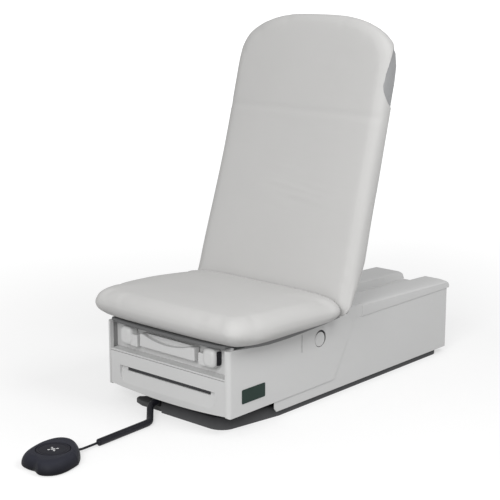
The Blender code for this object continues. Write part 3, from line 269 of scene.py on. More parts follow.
# %% Upholstery
def vinyl_finish():
    made, place, shader = new_finish("vinyl")
    wander = fine_noise(place, 2.6, detail=4.0)
    cells = place.make("ShaderNodeTexVoronoi", {"feature": "SMOOTH_F1"},
                       {"Vector": place, "Scale": 620.0, "Smoothness": 0.6})
    pores = fine_noise(place, 1500.0, detail=2.0)
    slack = fine_noise(stretched(place, (2.0, 7.0, 5.0)), 1.6, roughness=0.5)
    plug(shader, Base_Color=blend_colour(place, wander, (0.548, 0.544, 0.536), (0.592, 0.588, 0.580)),
         Roughness=0.58 + 0.10 * fine_noise(place, 38.0), Specular_IOR_Level=0.24,
         Normal=bump(cells * 0.7 + pores * 0.3, strength=0.16, distance=0.0006,
                     under=bump(slack, strength=0.10, distance=0.02)))
    return made


vinyl = vinyl_finish()
print("vinyl ready")


# %% Moulded plastics
def moulded_finish(name, low, high, rough=0.36, relief=0.10, gloss=0.5, painted_shade_heights=None):
    """Moulded plastic between two colours. Painted shade heights give the heights, in centimetres, of both,
    so the colour turns with height as painted shade.
    """
    made, place, shader = new_finish(name)
    wander = fine_noise(place, 4.0)
    # Painted shade: the colour follows the height, so the piece is darker towards its top or its bottom.
    if painted_shade_heights:
        height = place.make("ShaderNodeSeparateXYZ", None, {"Vector": place}, out=2)
        painted_shade_mix = ramp(height * 10.0, (painted_shade_heights[0] * 0.1, 0.0), (painted_shade_heights[1] * 0.1, 1.0))
        wander = 0.85 * painted_shade_mix + 0.15 * wander
    texture = fine_noise(place, 1100.0, detail=2.0, roughness=0.7)
    smears = fine_noise(stretched(place, (9.0, 5.0, 14.0)), 2.2, detail=5.0, roughness=0.65)
    plug(shader, Base_Color=blend_colour(place, wander, low, high), Specular_IOR_Level=gloss,
         Roughness=rough + 0.07 * texture + 0.10 * ramp(smears, (0.42, 0.0), (0.75, 1.0)),
         Normal=bump(texture, strength=relief, distance=0.0004))
    return made


light_plastic = moulded_finish("light_plastic", (0.604, 0.605, 0.602), (0.644, 0.645, 0.642))
dark_plastic = moulded_finish("dark_plastic", (0.036, 0.037, 0.039), (0.048, 0.049, 0.052),
                              rough=0.48, relief=0.18, gloss=0.3)
# Painted shade: the base is darker towards its top, where it lies in the shadow of the body above it.
base_shaded_plastic = moulded_finish("base_shaded_plastic", (0.080, 0.081, 0.084), (0.014, 0.014, 0.016),
                              rough=0.48, relief=0.18, gloss=0.3, painted_shade_heights=(0.4, 4.0))
foot_plastic = moulded_finish("foot_plastic", (0.050, 0.051, 0.052), (0.064, 0.065, 0.067),
                              rough=0.50, relief=0.16, gloss=0.3)
lid_plastic = moulded_finish("lid_plastic", (0.006, 0.006, 0.007), (0.010, 0.010, 0.012),
                             rough=0.48, relief=0.14, gloss=0.2)
grey_plastic = moulded_finish("grey_plastic", (0.300, 0.303, 0.308), (0.340, 0.343, 0.348),
                              rough=0.42, relief=0.14)
# Painted shade: the foot control is nearly black at its lower rim and lighter on top, where light falls on
# it.
control_shaded_plastic = moulded_finish("control_shaded_plastic", (0.001, 0.001, 0.002), (0.026, 0.027, 0.038),
                                 rough=0.50, relief=0.12, gloss=0.16, painted_shade_heights=(0.5, 3.9))
pad_plastic = moulded_finish("pad_plastic", (0.014, 0.014, 0.020), (0.018, 0.018, 0.025),
                             rough=0.50, relief=0.12, gloss=0.18)
# Painted shade: a dark grey for the strip that stands for the shadow in the gap under the seat.
shade_strip_grey = moulded_finish("shade_strip_grey", (0.240, 0.241, 0.243), (0.280, 0.281, 0.283),
                           rough=0.7, relief=0.3, gloss=0.2)
badge_enamel = moulded_finish("badge_enamel", (0.008, 0.024, 0.018), (0.012, 0.032, 0.025),
                              rough=0.34, relief=0.03, gloss=0.2)
# Painted shade: the seat board is dark grey, so the gap under the seat's front edge reads as shadow.
board_shade_grey = moulded_finish("board_shade_grey", (0.130, 0.131, 0.133), (0.160, 0.161, 0.163),
                            rough=0.6, relief=0.2, gloss=0.2)
print("plastics ready")


# %% Rubber, metals and print
def rubber_finish():
    made, place, shader = new_finish("rubber")
    speckle = fine_noise(place, 420.0)
    dust = fine_noise(place, 24.0, detail=4.0)
    plug(shader, Base_Color=blend_colour(place, dust, (0.006, 0.006, 0.010), (0.012, 0.012, 0.017)),
         Roughness=0.40 + 0.20 * dust, Specular_IOR_Level=0.3,
         Normal=bump(speckle, strength=0.18, distance=0.0005))
    return made


def steel_finish():
    made, place, shader = new_finish("brushed_steel")
    lines = fine_noise(stretched(place, (900.0, 14.0, 900.0)), 1.0)
    plug(shader, Base_Color=blend_colour(place, lines, (0.50, 0.51, 0.52), (0.62, 0.63, 0.64)), Metallic=1.0,
         Roughness=0.24 + 0.16 * lines, Normal=bump(lines, strength=0.08, distance=0.0003))
    return made


def powder_finish():
    made, place, shader = new_finish("powder_coat")
    peel = fine_noise(place, 380.0, detail=2.0, roughness=0.4)
    wander = fine_noise(place, 7.0)
    plug(shader, Base_Color=blend_colour(place, wander, (0.36, 0.37, 0.38), (0.40, 0.41, 0.42)),
         Roughness=0.40 + 0.12 * peel, Normal=bump(peel, strength=0.22, distance=0.0006))
    return made


def print_finish():
    made, place, shader = new_finish("white_print")
    worn = fine_noise(place, 260.0)
    plug(shader, Base_Color=blend_colour(place, worn, (0.62, 0.62, 0.62), (0.78, 0.78, 0.78)),
         Roughness=0.5 + 0.1 * worn, Normal=bump(worn, strength=0.05, distance=0.0003))
    return made


rubber = rubber_finish()
steel = steel_finish()
powder_coat = powder_finish()
white_print = print_finish()
print("finishes:", len(bpy.data.materials))

# %% [markdown]
# ## The cord of the foot control
#
# A stiff rubber sleeve leaves the base, bends twice, and lies on the floor. Out of its end comes a thin
# round cord that goes into the foot control. Both are curves with a round section. Their plan is walked
# as straight and bent stretches, which keeps every bend a true arc, and the height eases down to the floor.


# %% Walking a route
def walked_route(start, heading, stretches):
    """Plan points: each stretch is its length, its turn in degrees and its number of steps."""
    x, y = start
    points = [(x, y)]
    for length, turn, count in stretches:
        for _ in range(count):
            heading += turn / count / 2
            x += math.sin(math.radians(heading)) * length / count
            y -= math.cos(math.radians(heading)) * length / count
            heading += turn / count / 2
            points.append((x, y))
    return points


def eased(share):
    share = max(0.0, min(1.0, share))
    return share * share * (3 - 2 * share)


def route_length(route):
    return sum(math.dist(a, b) for a, b in zip(route, route[1:]))


SLEEVE_DIAMETER, CORD_DIAMETER = 0.024, 0.008
SLEEVE_START = (-0.066, -0.6244, 0.037)
SLEEVE_LAY_Z = SLEEVE_DIAMETER / 2 + 0.0005
SLEEVE_FALL = 0.115
SLEEVE_BEND, CORD_BEND = 0.050, 0.030
CORD_START_GAP, CORD_END_Z = 0.0004, 0.015

arc = SLEEVE_BEND * math.radians(1)
plan = walked_route(SLEEVE_START[:2], 0.0, [(0.010, 0, 2), (arc * 45, 45, 8), (0.0724, 0, 6),
                                            (arc * 42, -42, 8), (0.2212, 0, 14)])
sleeve_route = []
for x, y in plan:
    drop = eased(math.dist((x, y), SLEEVE_START[:2]) / SLEEVE_FALL)
    sleeve_route.append((x, y, SLEEVE_START[2] + (SLEEVE_LAY_Z - SLEEVE_START[2]) * drop))
arc = CORD_BEND * math.radians(1)
plan = walked_route((plan[-1][0], plan[-1][1] - CORD_START_GAP), 3.0,
                    [(arc * 2, 2, 1), (0.07395, 0, 9), (arc * 26, -26, 6)])
cord_route = []
for i, (x, y) in enumerate(plan):
    rise = eased(i / (len(plan) - 1))
    cord_route.append((x, y, SLEEVE_LAY_Z + (CORD_END_Z - SLEEVE_LAY_Z) * rise))
print("sleeve", round(route_length(sleeve_route), 4), "m, cord", round(route_length(cord_route), 4), "m")


# %% Cord, sleeve and the bush between them
def round_cord(name, route, diameter, finish):
    curve = bpy.data.curves.new(name, "CURVE")
    curve.dimensions = "3D"
    line = curve.splines.new("POLY")
    line.points.add(len(route) - 1)
    for point, place in zip(line.points, route):
        point.co = (*place, 1.0)
    curve.bevel_depth = diameter / 2
    curve.bevel_resolution = 6
    curve.use_fill_caps = True
    curve.materials.append(finish)
    obj = bpy.data.objects.new(name, curve)
    scene.collection.objects.link(obj)
    return obj


BUSH_REAR, BUSH_FRONT, BUSH_LENGTH, BUSH_ROUND = 0.0098, 0.0058, 0.006, 0.0008
BUSH_SHIFT = Vector((0.0, -0.0026, 0.0))

sleeve = round_cord("sleeve", sleeve_route, SLEEVE_DIAMETER, rubber)
cord = round_cord("thin_cord", cord_route, CORD_DIAMETER, rubber)
for piece, node in ((sleeve, "cord_sleeve"), (cord, "control_cord")):
    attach(piece, "base")
    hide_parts(node)
form = bmesh.new()
bmesh.ops.create_cone(form, cap_ends=True, segments=40, radius1=BUSH_REAR, radius2=BUSH_FRONT,
                      depth=BUSH_LENGTH)
bmesh.ops.rotate(form, verts=form.verts[:], matrix=Matrix.Rotation(math.radians(90), 3, "X"))
bmesh.ops.translate(form, verts=form.verts[:], vec=Vector(sleeve_route[-1]) + BUSH_SHIFT)
rims = [e for e in form.edges if e.calc_face_angle() > math.radians(30)]
bmesh.ops.bevel(form, geom=rims, offset=BUSH_ROUND, offset_type="OFFSET", segments=3, profile=0.5,
                affect="EDGES", material=-1)
bush = loose_object("sleeve_bush", form)
bush.data.materials.append(rubber)
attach(bush, "base")
print("sleeve and cord, with", len(bush.data.polygons), "faces on the bush")

# %% [markdown]
# ## Pieces that keep the solid's own shape
#
# Moulded and pressed pieces have small rounds on every edge, which is what catches the light. `dress`
# turns a bmesh into a finished piece. `softened` starts from the solid model's own shape: its loose
# triangles are merged, flat areas become single faces, and the sharp edges get a fine bevel.


# %% Dressing a form
def mark_edges(form, sharp):
    """Shades every face smooth, and keeps sharp what turns by more than so many degrees."""
    for face in form.faces:
        face.smooth = True
    for edge in form.edges:
        edge.smooth = len(edge.link_faces) == 2 and edge.calc_face_angle() < math.radians(sharp)


def dress(name, form, finish, body, nodes=(), sharp=40):
    """Makes the form a piece that rides on a body and stands for some nodes of the solid model."""
    mark_edges(form, sharp)
    obj = loose_object(name, form)
    obj.data.materials.append(finish)
    even = obj.modifiers.new("even_normals", "WEIGHTED_NORMAL")
    even.keep_sharp = True
    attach(obj, body)
    if nodes:
        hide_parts(*nodes)
    return obj


SLOT_OF = {row["node"]: row["material_slot"] for row in frame["record"]["subparts"]}
FINISH_OF = {"light_plastic": light_plastic, "upholstery": vinyl, "dark_base": dark_plastic,
             "dark_control": control_shaded_plastic, "rubber": rubber, "painted_steel": powder_coat,
             "bright_steel": steel, "grey_plastic": grey_plastic, "badge": badge_enamel}
for node, obj in frame["nodes"].items():
    obj.data.materials.clear()
    obj.data.materials.append(FINISH_OF[SLOT_OF[node]])
print("every node has its finish")


# %% Softening a solid
def make_whole(form, gap):
    """Joins points that lie within the gap, and makes every flat area one face."""
    bmesh.ops.remove_doubles(form, verts=form.verts[:], dist=gap)
    bmesh.ops.dissolve_limit(form, angle_limit=math.radians(0.6), verts=form.verts[:], edges=form.edges[:])


def merged(node):
    """A bmesh of a node's shape, made whole."""
    form = bmesh.new()
    form.from_mesh(frame["nodes"][node].data)
    make_whole(form, gap=0.00001)
    return form


def round_edges(form, size, angle=32):
    """Bevels the edges that turn by more than so many degrees."""
    edges = [e for e in form.edges if len(e.link_faces) == 2 and e.calc_face_angle() > math.radians(angle)]
    bmesh.ops.bevel(form, geom=edges, offset=size, offset_type="OFFSET", segments=3, profile=0.5,
                    affect="EDGES", clamp_overlap=True, material=-1)


def body_with(node):
    return next(name for name, nodes in frame["record"]["behaviour"]["bodies"].items() if node in nodes)


# Nodes whose finish isn't that of the rest of their slot. The base pan's finish and the seat board's dark
# grey are painted shade.
OWN_FINISH = {"base_foot_plate": foot_plastic, "base_front_lid": lid_plastic, "cord_gland": lid_plastic,
              "base_pan": base_shaded_plastic, "seat_board": board_shade_grey}


def softened(node, size):
    form = merged(node)
    round_edges(form, size)
    finish = OWN_FINISH.get(node, FINISH_OF[SLOT_OF[node]])
    return dress(node + "_dressed", form, finish, body_with(node), [node])


SOFT_EDGES = {
    "side_cover_left": 0.0016, "side_cover_right": 0.0016, "rear_housing": 0.0016, "seat_board": 0.0030,
    "front_shelf": 0.0014, "front_fascia": 0.0008, "base_pan": 0.0012, "base_foot_plate": 0.0010,
    "base_front_lid": 0.0008, "cord_gland": 0.0015, "mains_inlet": 0.0006, "hinge_bracket_left": 0.0012,
    "hinge_bracket_right": 0.0012, "back_board": 0.0025, "back_grip_left": 0.0016,
    "back_grip_right": 0.0016, "control_box": 0.0015, "foot_board": 0.0020, "drawer_box": 0.0008,
    "foot_board_front": 0.0028, "badge_plate": 0.0004}
for node, size in SOFT_EDGES.items():
    piece = softened(node, size)
    print(piece.name, len(piece.data.polygons), "faces")

# %% [markdown]
# ## Rear deck, ports and joint lines
#
# The deck's edge stands a little proud of the housing below it, which draws a shadow line round the rear.
# Each side cover has a round port: a pale disc in a hole, set low and forward in front of a dark backing.
# The backing shows as the joint round the disc and, above it, as a dark crescent of painted shade. A thin
# grey strip in the short upright joint in front of the port is painted shade of that groove, and a dark grey
# strip along the cover's curved upper edge is painted shade of the gap under the seat. Round pieces are spun
# from half a section, because that closes them without a seam.

# %% Deck lip
LIP_FROM_Y, LIP_RUN, LIP_OUT = 0.0790, 0.002, 0.0028
HOUSING_HALF, WALL_SLACK = 0.2876, 0.0001

form = merged("rear_deck")
for cut_y in (LIP_FROM_Y, LIP_FROM_Y + LIP_RUN):
    bmesh.ops.bisect_plane(form, geom=form.verts[:] + form.edges[:] + form.faces[:],
                           plane_co=(0.0, cut_y, 0.0), plane_no=(0.0, 1.0, 0.0), dist=1e-6)
for vert in form.verts:
    if abs(vert.co.x) > HOUSING_HALF - WALL_SLACK and vert.co.y > LIP_FROM_Y + LIP_RUN / 2:
        vert.co.x += math.copysign(LIP_OUT, vert.co.x)
round_edges(form, size=0.0016)
dress("rear_deck_dressed", form, light_plastic, "carriage", ["rear_deck"])
print("deck lip stands out by", LIP_OUT)


# %% Spun, lofted and plain forms
def spun(section, count=120):
    """A closed solid from (radius, height) pairs that start and end on the axis."""
    form = bmesh.new()
    points = [form.verts.new((radius, 0.0, height)) for radius, height in section]
    edges = [form.edges.new(pair) for pair in zip(points, points[1:])]
    bmesh.ops.spin(form, geom=points + edges, cent=(0, 0, 0), axis=(0, 0, 1), angle=2 * math.pi, steps=count,
                   use_merge=True)
    bmesh.ops.remove_doubles(form, verts=form.verts[:], dist=1e-6)
    bmesh.ops.recalc_face_normals(form, faces=form.faces[:])
    return form


def loft(rings):
    """A closed form through rings of equally many points."""
    form = bmesh.new()
    rows = [[form.verts.new(point) for point in ring] for ring in rings]
    count = len(rows[0])
    for low, high in zip(rows, rows[1:]):
        for i in range(count):
            k = (i + 1) % count
            form.faces.new((low[i], low[k], high[k], high[i]))
    form.faces.new(rows[0][::-1])
    form.faces.new(rows[-1])
    bmesh.ops.recalc_face_normals(form, faces=form.faces[:])
    return form


def slab(x0, x1, y0, y1, z0, z1):
    form = bmesh.new()
    bmesh.ops.create_cube(form, size=1.0)
    bmesh.ops.scale(form, verts=form.verts[:], vec=(x1 - x0, y1 - y0, z1 - z0))
    bmesh.ops.translate(form, verts=form.verts[:], vec=((x0 + x1) / 2, (y0 + y1) / 2, (z0 + z1) / 2))
    return form


print("forms ready")

# %% Ports, and painted shade strips in the joints and under the seat
SIDES = ((1, "right"), (-1, "left"))
COVER_HALF, COVER_WALL, COVER_TOP, COVER_GAP = 0.2915, 0.0035, 0.2925, 0.0004
BEHIND_COVER = COVER_HALF - COVER_WALL - COVER_GAP
PORT = Vector((0.0, -0.168, 0.234))
# Painted shade: a dark backing in the port's hole. It is partly the joint round the disc and partly the
# shadow crescent above it.
PORT_SHADE_BACKING = [(0.0, -0.0040), (0.0360, -0.0040), (0.0360, 0.0), (0.0, 0.0)]
PORT_DISC = [(0.0, 0.0002), (0.0262, 0.0002), (0.0262, 0.0022), (0.0258, 0.0028), (0.0250, 0.0031),
             (0.0160, 0.0029), (0.0, 0.0028)]
# The disc sits low and forward, so the dark backing shows above it as a painted shade crescent.
DISC_SHADE_SHIFT = Vector((0.0, -0.0012, -0.0024))
JOINT, JOINT_DEPTH = Vector((0.0, -0.2695, 0.2375)), 0.0016
# Painted shade: a grey strip at the bottom of the short upright groove darkens it the way its shadow would.
JOINT_SHADE_STRIP = (-0.0005, 0.0005, -0.0009, 0.0009, -0.0323, 0.0323)
# Painted shade: a dark strip along the cover's curved top edge, where the seat's overhang leaves only shadow.
SEAT_SHADE_STRIP_HALF = 0.001
SEAT_SHADE_STRIP = [(-0.06, COVER_TOP), (-0.610, COVER_TOP), (-0.600, 0.2915), (-0.554, 0.2860), (-0.500, 0.2790),
             (-0.444, 0.2745), (-0.350, 0.2735), (-0.254, 0.2765), (-0.143, 0.2810), (-0.06, 0.2880)]

for side, word in SIDES:
    outward = Matrix.Rotation(math.radians(90 * side), 4, "Y")
    port = PORT + Vector((side * BEHIND_COVER, 0.0, 0.0))
    form = spun(PORT_SHADE_BACKING)
    form.transform(Matrix.Translation(port) @ outward)
    dress("port_shade_backing_" + word, form, rubber, "carriage")
    form = spun(PORT_DISC)
    form.transform(Matrix.Translation(port + DISC_SHADE_SHIFT) @ outward)
    dress("port_disc_" + word, form, light_plastic, "carriage", ["port_cap_" + word])
    form = slab(*JOINT_SHADE_STRIP)
    joint = JOINT + Vector((side * (COVER_HALF - JOINT_DEPTH), 0.0, 0.0))
    bmesh.ops.translate(form, verts=form.verts[:], vec=joint)
    round_edges(form, size=0.0002)
    dress("joint_shade_strip_" + word, form, grey_plastic, "carriage")
    form = loft([[(side * x, y, z) for y, z in SEAT_SHADE_STRIP]
                 for x in (COVER_HALF - SEAT_SHADE_STRIP_HALF, COVER_HALF + SEAT_SHADE_STRIP_HALF)])
    round_edges(form, size=0.0004)
    dress("seat_shade_strip_" + word, form, shade_strip_grey, "carriage")
print("ports, joint strips and seals on both sides")

# %% [markdown]
# ## Drawer front and stirrup knobs
#
# The drawer is pulled at a slot in the upper edge of a wide scoop. The scoop's floor leans back, so it
# catches more light than the panel around it. It is cut out with a boolean, because the cut crosses the
# panel's own slot, and a dark plate behind the slot is painted shade inside it. Above the drawer a rounded
# knob with a flat post ends each stirrup, and a dark rubber pad on its outer side is painted shade of the
# gap beside it.


# %% Rounded outlines
def quarter(centre, corner, start, steps):
    """A quarter turn of a squared ellipse, from its reach across and along and its power."""
    points = []
    for i in range(steps + 1):
        turn = math.radians(start + 90 * i / steps)
        x, y = math.cos(turn), math.sin(turn)
        points.append((centre[0] + corner[0] * math.copysign(abs(x) ** (2 / corner[2]), x),
                       centre[1] + corner[1] * math.copysign(abs(y) ** (2 / corner[2]), y)))
    return points


def rounded_plan(half, low, high, corner_low, corner_high, steps=10, between=12):
    """A rounded outline, anticlockwise from its lower right corner, with points along its sides."""
    corners = [((half - corner_low[0], low + corner_low[1]), corner_low, -90),
               ((half - corner_high[0], high - corner_high[1]), corner_high, 0),
               ((-half + corner_high[0], high - corner_high[1]), corner_high, 90),
               ((-half + corner_low[0], low + corner_low[1]), corner_low, 180)]
    points = []
    for index, (centre, corner, start) in enumerate(corners):
        points += quarter(centre, corner, start, steps)
        here = Vector(points[-1])
        there = Vector(quarter(*corners[(index + 1) % 4], 1)[0])
        points += [tuple(here.lerp(there, i / (between + 1))) for i in range(1, between + 1)]
    return points


def squared_ring(middle, reach, power, count=72):
    """A squared ellipse about a middle, as pairs."""
    turns = [2 * math.pi * i / count for i in range(count)]
    return [tuple(m + r * math.copysign(abs(f(t)) ** (2 / power), f(t))
                  for m, r, f in zip(middle, reach, (math.cos, math.sin))) for t in turns]


print("outlines ready")


# %% Drawer front
def apply_modifiers(obj):
    graph = bpy.context.evaluated_depsgraph_get()
    mesh = bpy.data.meshes.new_from_object(obj.evaluated_get(graph))
    obj.modifiers.clear()
    obj.data = mesh


def carve(obj, *cutters):
    """Cuts forms out of an object, and leaves no modifier behind."""
    tools = [loose_object("cutter", form) for form in cutters]
    for tool in tools:
        step = obj.modifiers.new("carve", "BOOLEAN")
        step.operation = "DIFFERENCE"
        step.solver = "EXACT"
        step.object = tool
    apply_modifiers(obj)
    for tool in tools:
        bpy.data.objects.remove(tool)


SCOOP_HALF, SCOOP_LOW, SCOOP_HIGH, SCOOP_DEPTH = 0.228, 0.080, 0.142, 0.0145
SCOOP_LOW_CORNER, SCOOP_HIGH_CORNER = (0.036, 0.036, 2.0), (0.002, 0.002, 2.0)
SCOOP_LEAN, SCOOP_AHEAD = SCOOP_DEPTH / (SCOOP_HIGH - SCOOP_LOW), 0.02
PULL_HALF, PULL_LOW = 0.200, 0.124
# Painted shade: a dark plate just behind the pull slot, so the slot reads dark all through.
SHADE_PLATE_FRONT, SHADE_PLATE_REAR, SHADE_PLATE_GAP = 0.0150, 0.0165, 0.0005

drawer_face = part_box("drawer_front")[0][1]
scoop_plan = rounded_plan(SCOOP_HALF, SCOOP_LOW, SCOOP_HIGH, SCOOP_LOW_CORNER, SCOOP_HIGH_CORNER)
scoop = loft([[(x, drawer_face - SCOOP_AHEAD, z) for x, z in scoop_plan],
              [(x, drawer_face + SCOOP_LEAN * (z - SCOOP_LOW), z) for x, z in scoop_plan]])
panel = loose_object("panel", merged("drawer_front"))
carve(panel, scoop)
form = bmesh.new()
form.from_mesh(panel.data)
bpy.data.objects.remove(panel)
make_whole(form, gap=0.00005)
round_edges(form, size=0.0010, angle=9)
dress("drawer_panel", form, light_plastic, "drawer", ["drawer_front"])
form = slab(-PULL_HALF + SHADE_PLATE_GAP, PULL_HALF - SHADE_PLATE_GAP, drawer_face + SHADE_PLATE_FRONT,
            drawer_face + SHADE_PLATE_REAR, PULL_LOW + SHADE_PLATE_GAP, SCOOP_HIGH - 2 * SHADE_PLATE_GAP)
round_edges(form, size=0.0003)
dress("pull_shade_plate", form, dark_plastic, "drawer")
print("drawer front with its scoop,", SCOOP_DEPTH, "deep")

# %% Stirrup knobs
KNOB_POST, KNOB_ROUND, KNOB_POWER = 0.024, 0.016, 3.0
POST_LAP, POST_BACK, POST_DROP, POST_INSET, POST_LIFT = 0.012, 0.009, 0.024, 0.001, 0.0005
# Painted shade: a dark rubber pad on each knob's outer side stands for the shadow in the gap beside it.
KNOB_SHADE_BACK, KNOB_SHADE_SHARE, KNOB_SHADE_POWER = 0.014, 0.72, 4.0
KNOB_SHADE_SUNK, KNOB_SHADE_PROUD = 0.012, 0.0005

for side, word in SIDES:
    low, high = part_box("stirrup_cup_" + word)
    inner, outer = (low[0], high[0]) if side > 0 else (-high[0], -low[0])
    middle = ((inner + KNOB_POST + outer) / 2, (low[2] + high[2]) / 2)
    reach = ((outer - inner - KNOB_POST) / 2, (high[2] - low[2]) / 2)
    rings = []
    for inset, depth in quarter((0.0, KNOB_ROUND), (KNOB_ROUND, KNOB_ROUND, 2.0), 180, 10)[::-1]:
        size = [r - KNOB_ROUND - inset for r in reach]
        rings.append([(side * x, low[1] + depth, z) for x, z in squared_ring(middle, size, KNOB_POWER)])
    rings.append([(side * x, high[1], z) for x, z in squared_ring(middle, reach, KNOB_POWER)])
    dress("stirrup_knob_" + word, loft(rings), light_plastic, "stirrup_" + word,
          ["stirrup_cup_" + word], sharp=60)
    form = slab(*sorted((side * inner, side * (inner + KNOB_POST + POST_LAP))), low[1] + POST_BACK,
                high[1] - POST_INSET, low[2] + POST_LIFT, high[2] - POST_DROP)
    round_edges(form, size=0.004)
    dress("stirrup_post_" + word, form, light_plastic, "stirrup_" + word)
    # The dark pad on the knob's outer side is painted shade.
    front = low[1] + KNOB_SHADE_BACK
    pad = squared_ring(((front + high[1]) / 2, middle[1]),
                       ((high[1] - front) / 2, reach[1] * KNOB_SHADE_SHARE), KNOB_SHADE_POWER)
    form = loft([[(side * x, y, z) for y, z in pad] for x in (outer - KNOB_SHADE_SUNK, outer + KNOB_SHADE_PROUD)])
    round_edges(form, size=0.0008)
    dress("knob_shade_pad_" + word, form, rubber, "stirrup_" + word)
print("knobs on both stirrups")

# %% [markdown]
# ## Foot control
#
# The control is a dark pebble with a round rocking pad sunk into its top. The pebble is one loft: up its
# side, over the top, down into the pad's well. The pad is a section spun round its middle, with a ring
# groove and a shallow dish, and it carries a few printed arrows that ride with it.

# %% Pebble
CONTROL = Vector((0.0241, -1.1592, 0.0))
CONTROL_TURN = math.radians(17.6)
CONTROL_HALF, CONTROL_REACH = 0.089, 0.119
CONTROL_TOP, CONTROL_ROUND = 0.046, 0.028
FRONT_POWER, REAR_POWER = 3.0, 2.2
REAR_NARROWING, REAR_SHIFT = 0.26, 0.020
FRONT_STEP, STEP_X, STEP_RUN = 0.20, 0.022, 0.040
SOLE_TOP = 0.004
PEBBLE_FOOT = ((0.006, 0.0), (0.0015, 0.0012), (0.0, 0.004))
SHOULDER_Z, SHOULDER_POWER = SOLE_TOP + 0.006, 1.8
WELL_RADIUS, WELL_FLOOR = 0.0563, 0.030
WELL_LIP = ((0.0012, 0.0), (0.0003, 0.0005), (0.0, 0.0014))
PAD_SHIFT = -0.004
TO_CONTROL = Matrix.Translation(CONTROL) @ Matrix.Rotation(CONTROL_TURN, 4, "Z")


def pebble_ring(inset, height, count=160):
    """The outline: squarer in front, narrower and drawn to the left behind, with a step in its front edge."""
    points = []
    for i in range(count):
        turn = 2 * math.pi * i / count
        c, s = math.cos(turn), math.sin(turn)
        power = REAR_POWER if s > 0 else FRONT_POWER
        size = (abs(c) ** power + abs(s) ** power) ** (-1 / power)
        y = (CONTROL_REACH - inset) * size * s
        back = max(0.0, y / CONTROL_REACH)
        x = (CONTROL_HALF - inset) * size * c * (1 - REAR_NARROWING * back) - REAR_SHIFT * back
        if y < 0:
            y *= 1 - FRONT_STEP * eased((STEP_X - x) / STEP_RUN)
        points.append((x, y, height))
    return points


def well_ring(radius, height, count=160):
    turns = [2 * math.pi * i / count for i in range(count)]
    return [(radius * math.cos(t), PAD_SHIFT + radius * math.sin(t), height) for t in turns]


rings = [pebble_ring(inset, SOLE_TOP + rise) for inset, rise in PEBBLE_FOOT]
shoulder = (CONTROL_ROUND, CONTROL_TOP - SHOULDER_Z, SHOULDER_POWER)
for inset, z in quarter((-CONTROL_ROUND, SHOULDER_Z), shoulder, start=0, steps=14):
    rings.append(pebble_ring(-inset, z))
rings += [well_ring(WELL_RADIUS + out, CONTROL_TOP - down) for out, down in WELL_LIP]
rings.append(well_ring(WELL_RADIUS, WELL_FLOOR))
form = loft(rings)
form.transform(TO_CONTROL)
dress("control_pebble", form, control_shaded_plastic, "base", ["control_housing"], sharp=50)
softened("control_sole", size=0.0008)
print("foot control, top at", CONTROL_TOP)

# %% Rocking pad
PAD_SECTION = [(0.0, 0.0362), (0.016, 0.0362), (0.052, 0.0392), (0.0538, 0.0402), (0.0548, 0.0418),
               (0.0546, 0.0436), (0.0536, 0.0450), (0.0520, 0.0458), (0.0500, 0.0458), (0.0480, 0.0452),
               (0.0466, 0.0440), (0.0452, 0.0438), (0.0440, 0.0446), (0.0424, 0.0449), (0.0300, 0.0446),
               (0.0, 0.0443)]
TO_PAD = TO_CONTROL @ Matrix.Translation((0.0, PAD_SHIFT, 0.0))

form = spun(PAD_SECTION)
form.transform(TO_PAD)
dress("control_rocker_pad", form, pad_plastic, "control_rocker", ["control_pad"], sharp=60)
print("pad of radius", max(radius for radius, height in PAD_SECTION))

# %% Printed arrows
PRINT_Z, PRINT_RISE = 0.0447, 0.0004
ARROW = [(-0.0018, -0.004), (0.0018, -0.004), (0.0018, 0.0005), (0.0042, 0.0005), (0.0, 0.0055),
         (-0.0042, 0.0005), (-0.0018, 0.0005)]
ARROW_OUT = 0.0135
BAR_REACH, BAR_ROUND = 0.0030, (0.0040, 0.0040, 2.0)


def flat_sign(name, outline, turn, shift):
    """A thin printed shape on the pad, turned about the pad's middle after a shift along y."""
    form = bmesh.new()
    face = form.faces.new([form.verts.new((x, y + shift, PRINT_Z)) for x, y in outline])
    grown = bmesh.ops.extrude_face_region(form, geom=[face])
    raised = [g for g in grown["geom"] if isinstance(g, bmesh.types.BMVert)]
    bmesh.ops.translate(form, verts=raised, vec=(0.0, 0.0, PRINT_RISE))
    bmesh.ops.recalc_face_normals(form, faces=form.faces[:])
    form.transform(TO_PAD @ Matrix.Rotation(math.radians(turn), 4, "Z"))
    return dress(name, form, white_print, "control_rocker")


for turn in range(0, 360, 90):
    flat_sign("arrow_" + str(turn), ARROW, turn=turn + 45, shift=ARROW_OUT)
bar = []
for side, start in ((1, -90), (1, 0), (-1, 90), (-1, 180)):
    bar += quarter((side * BAR_REACH, 0.0), BAR_ROUND, start, 6)[:-1 if start % 180 else None]
flat_sign("arrow_bar", bar, turn=30, shift=0.0)
print("four arrows and a bar on the pad")

# %% [markdown]
# ## Upholstery
#
# The seat and the backrest are thick foam pads under seamless vinyl. A box with rounded edges looks hard:
# real foam is fullest in the middle, and its sides belly out between the corners. So each pad starts
# slightly small, is remeshed into even squares and blown up by a cloth simulation with some pressure.
# How far a point may move is limited, and a last small stretch fits the pad to the space that its solid
# holds.

# %% Foam
ROLL_STEPS = 16
LEAST_CORNER, MOST_OF_HALF = 0.012, 0.85
CORNER_SHARE = 0.6


def smaller(corner, inset, half):
    """A corner of an outline that is drawn in by the inset, within its half width."""
    across = max(min(corner[0] - inset, half * MOST_OF_HALF), LEAST_CORNER)
    return across, max(corner[1] - inset, LEAST_CORNER), corner[2]


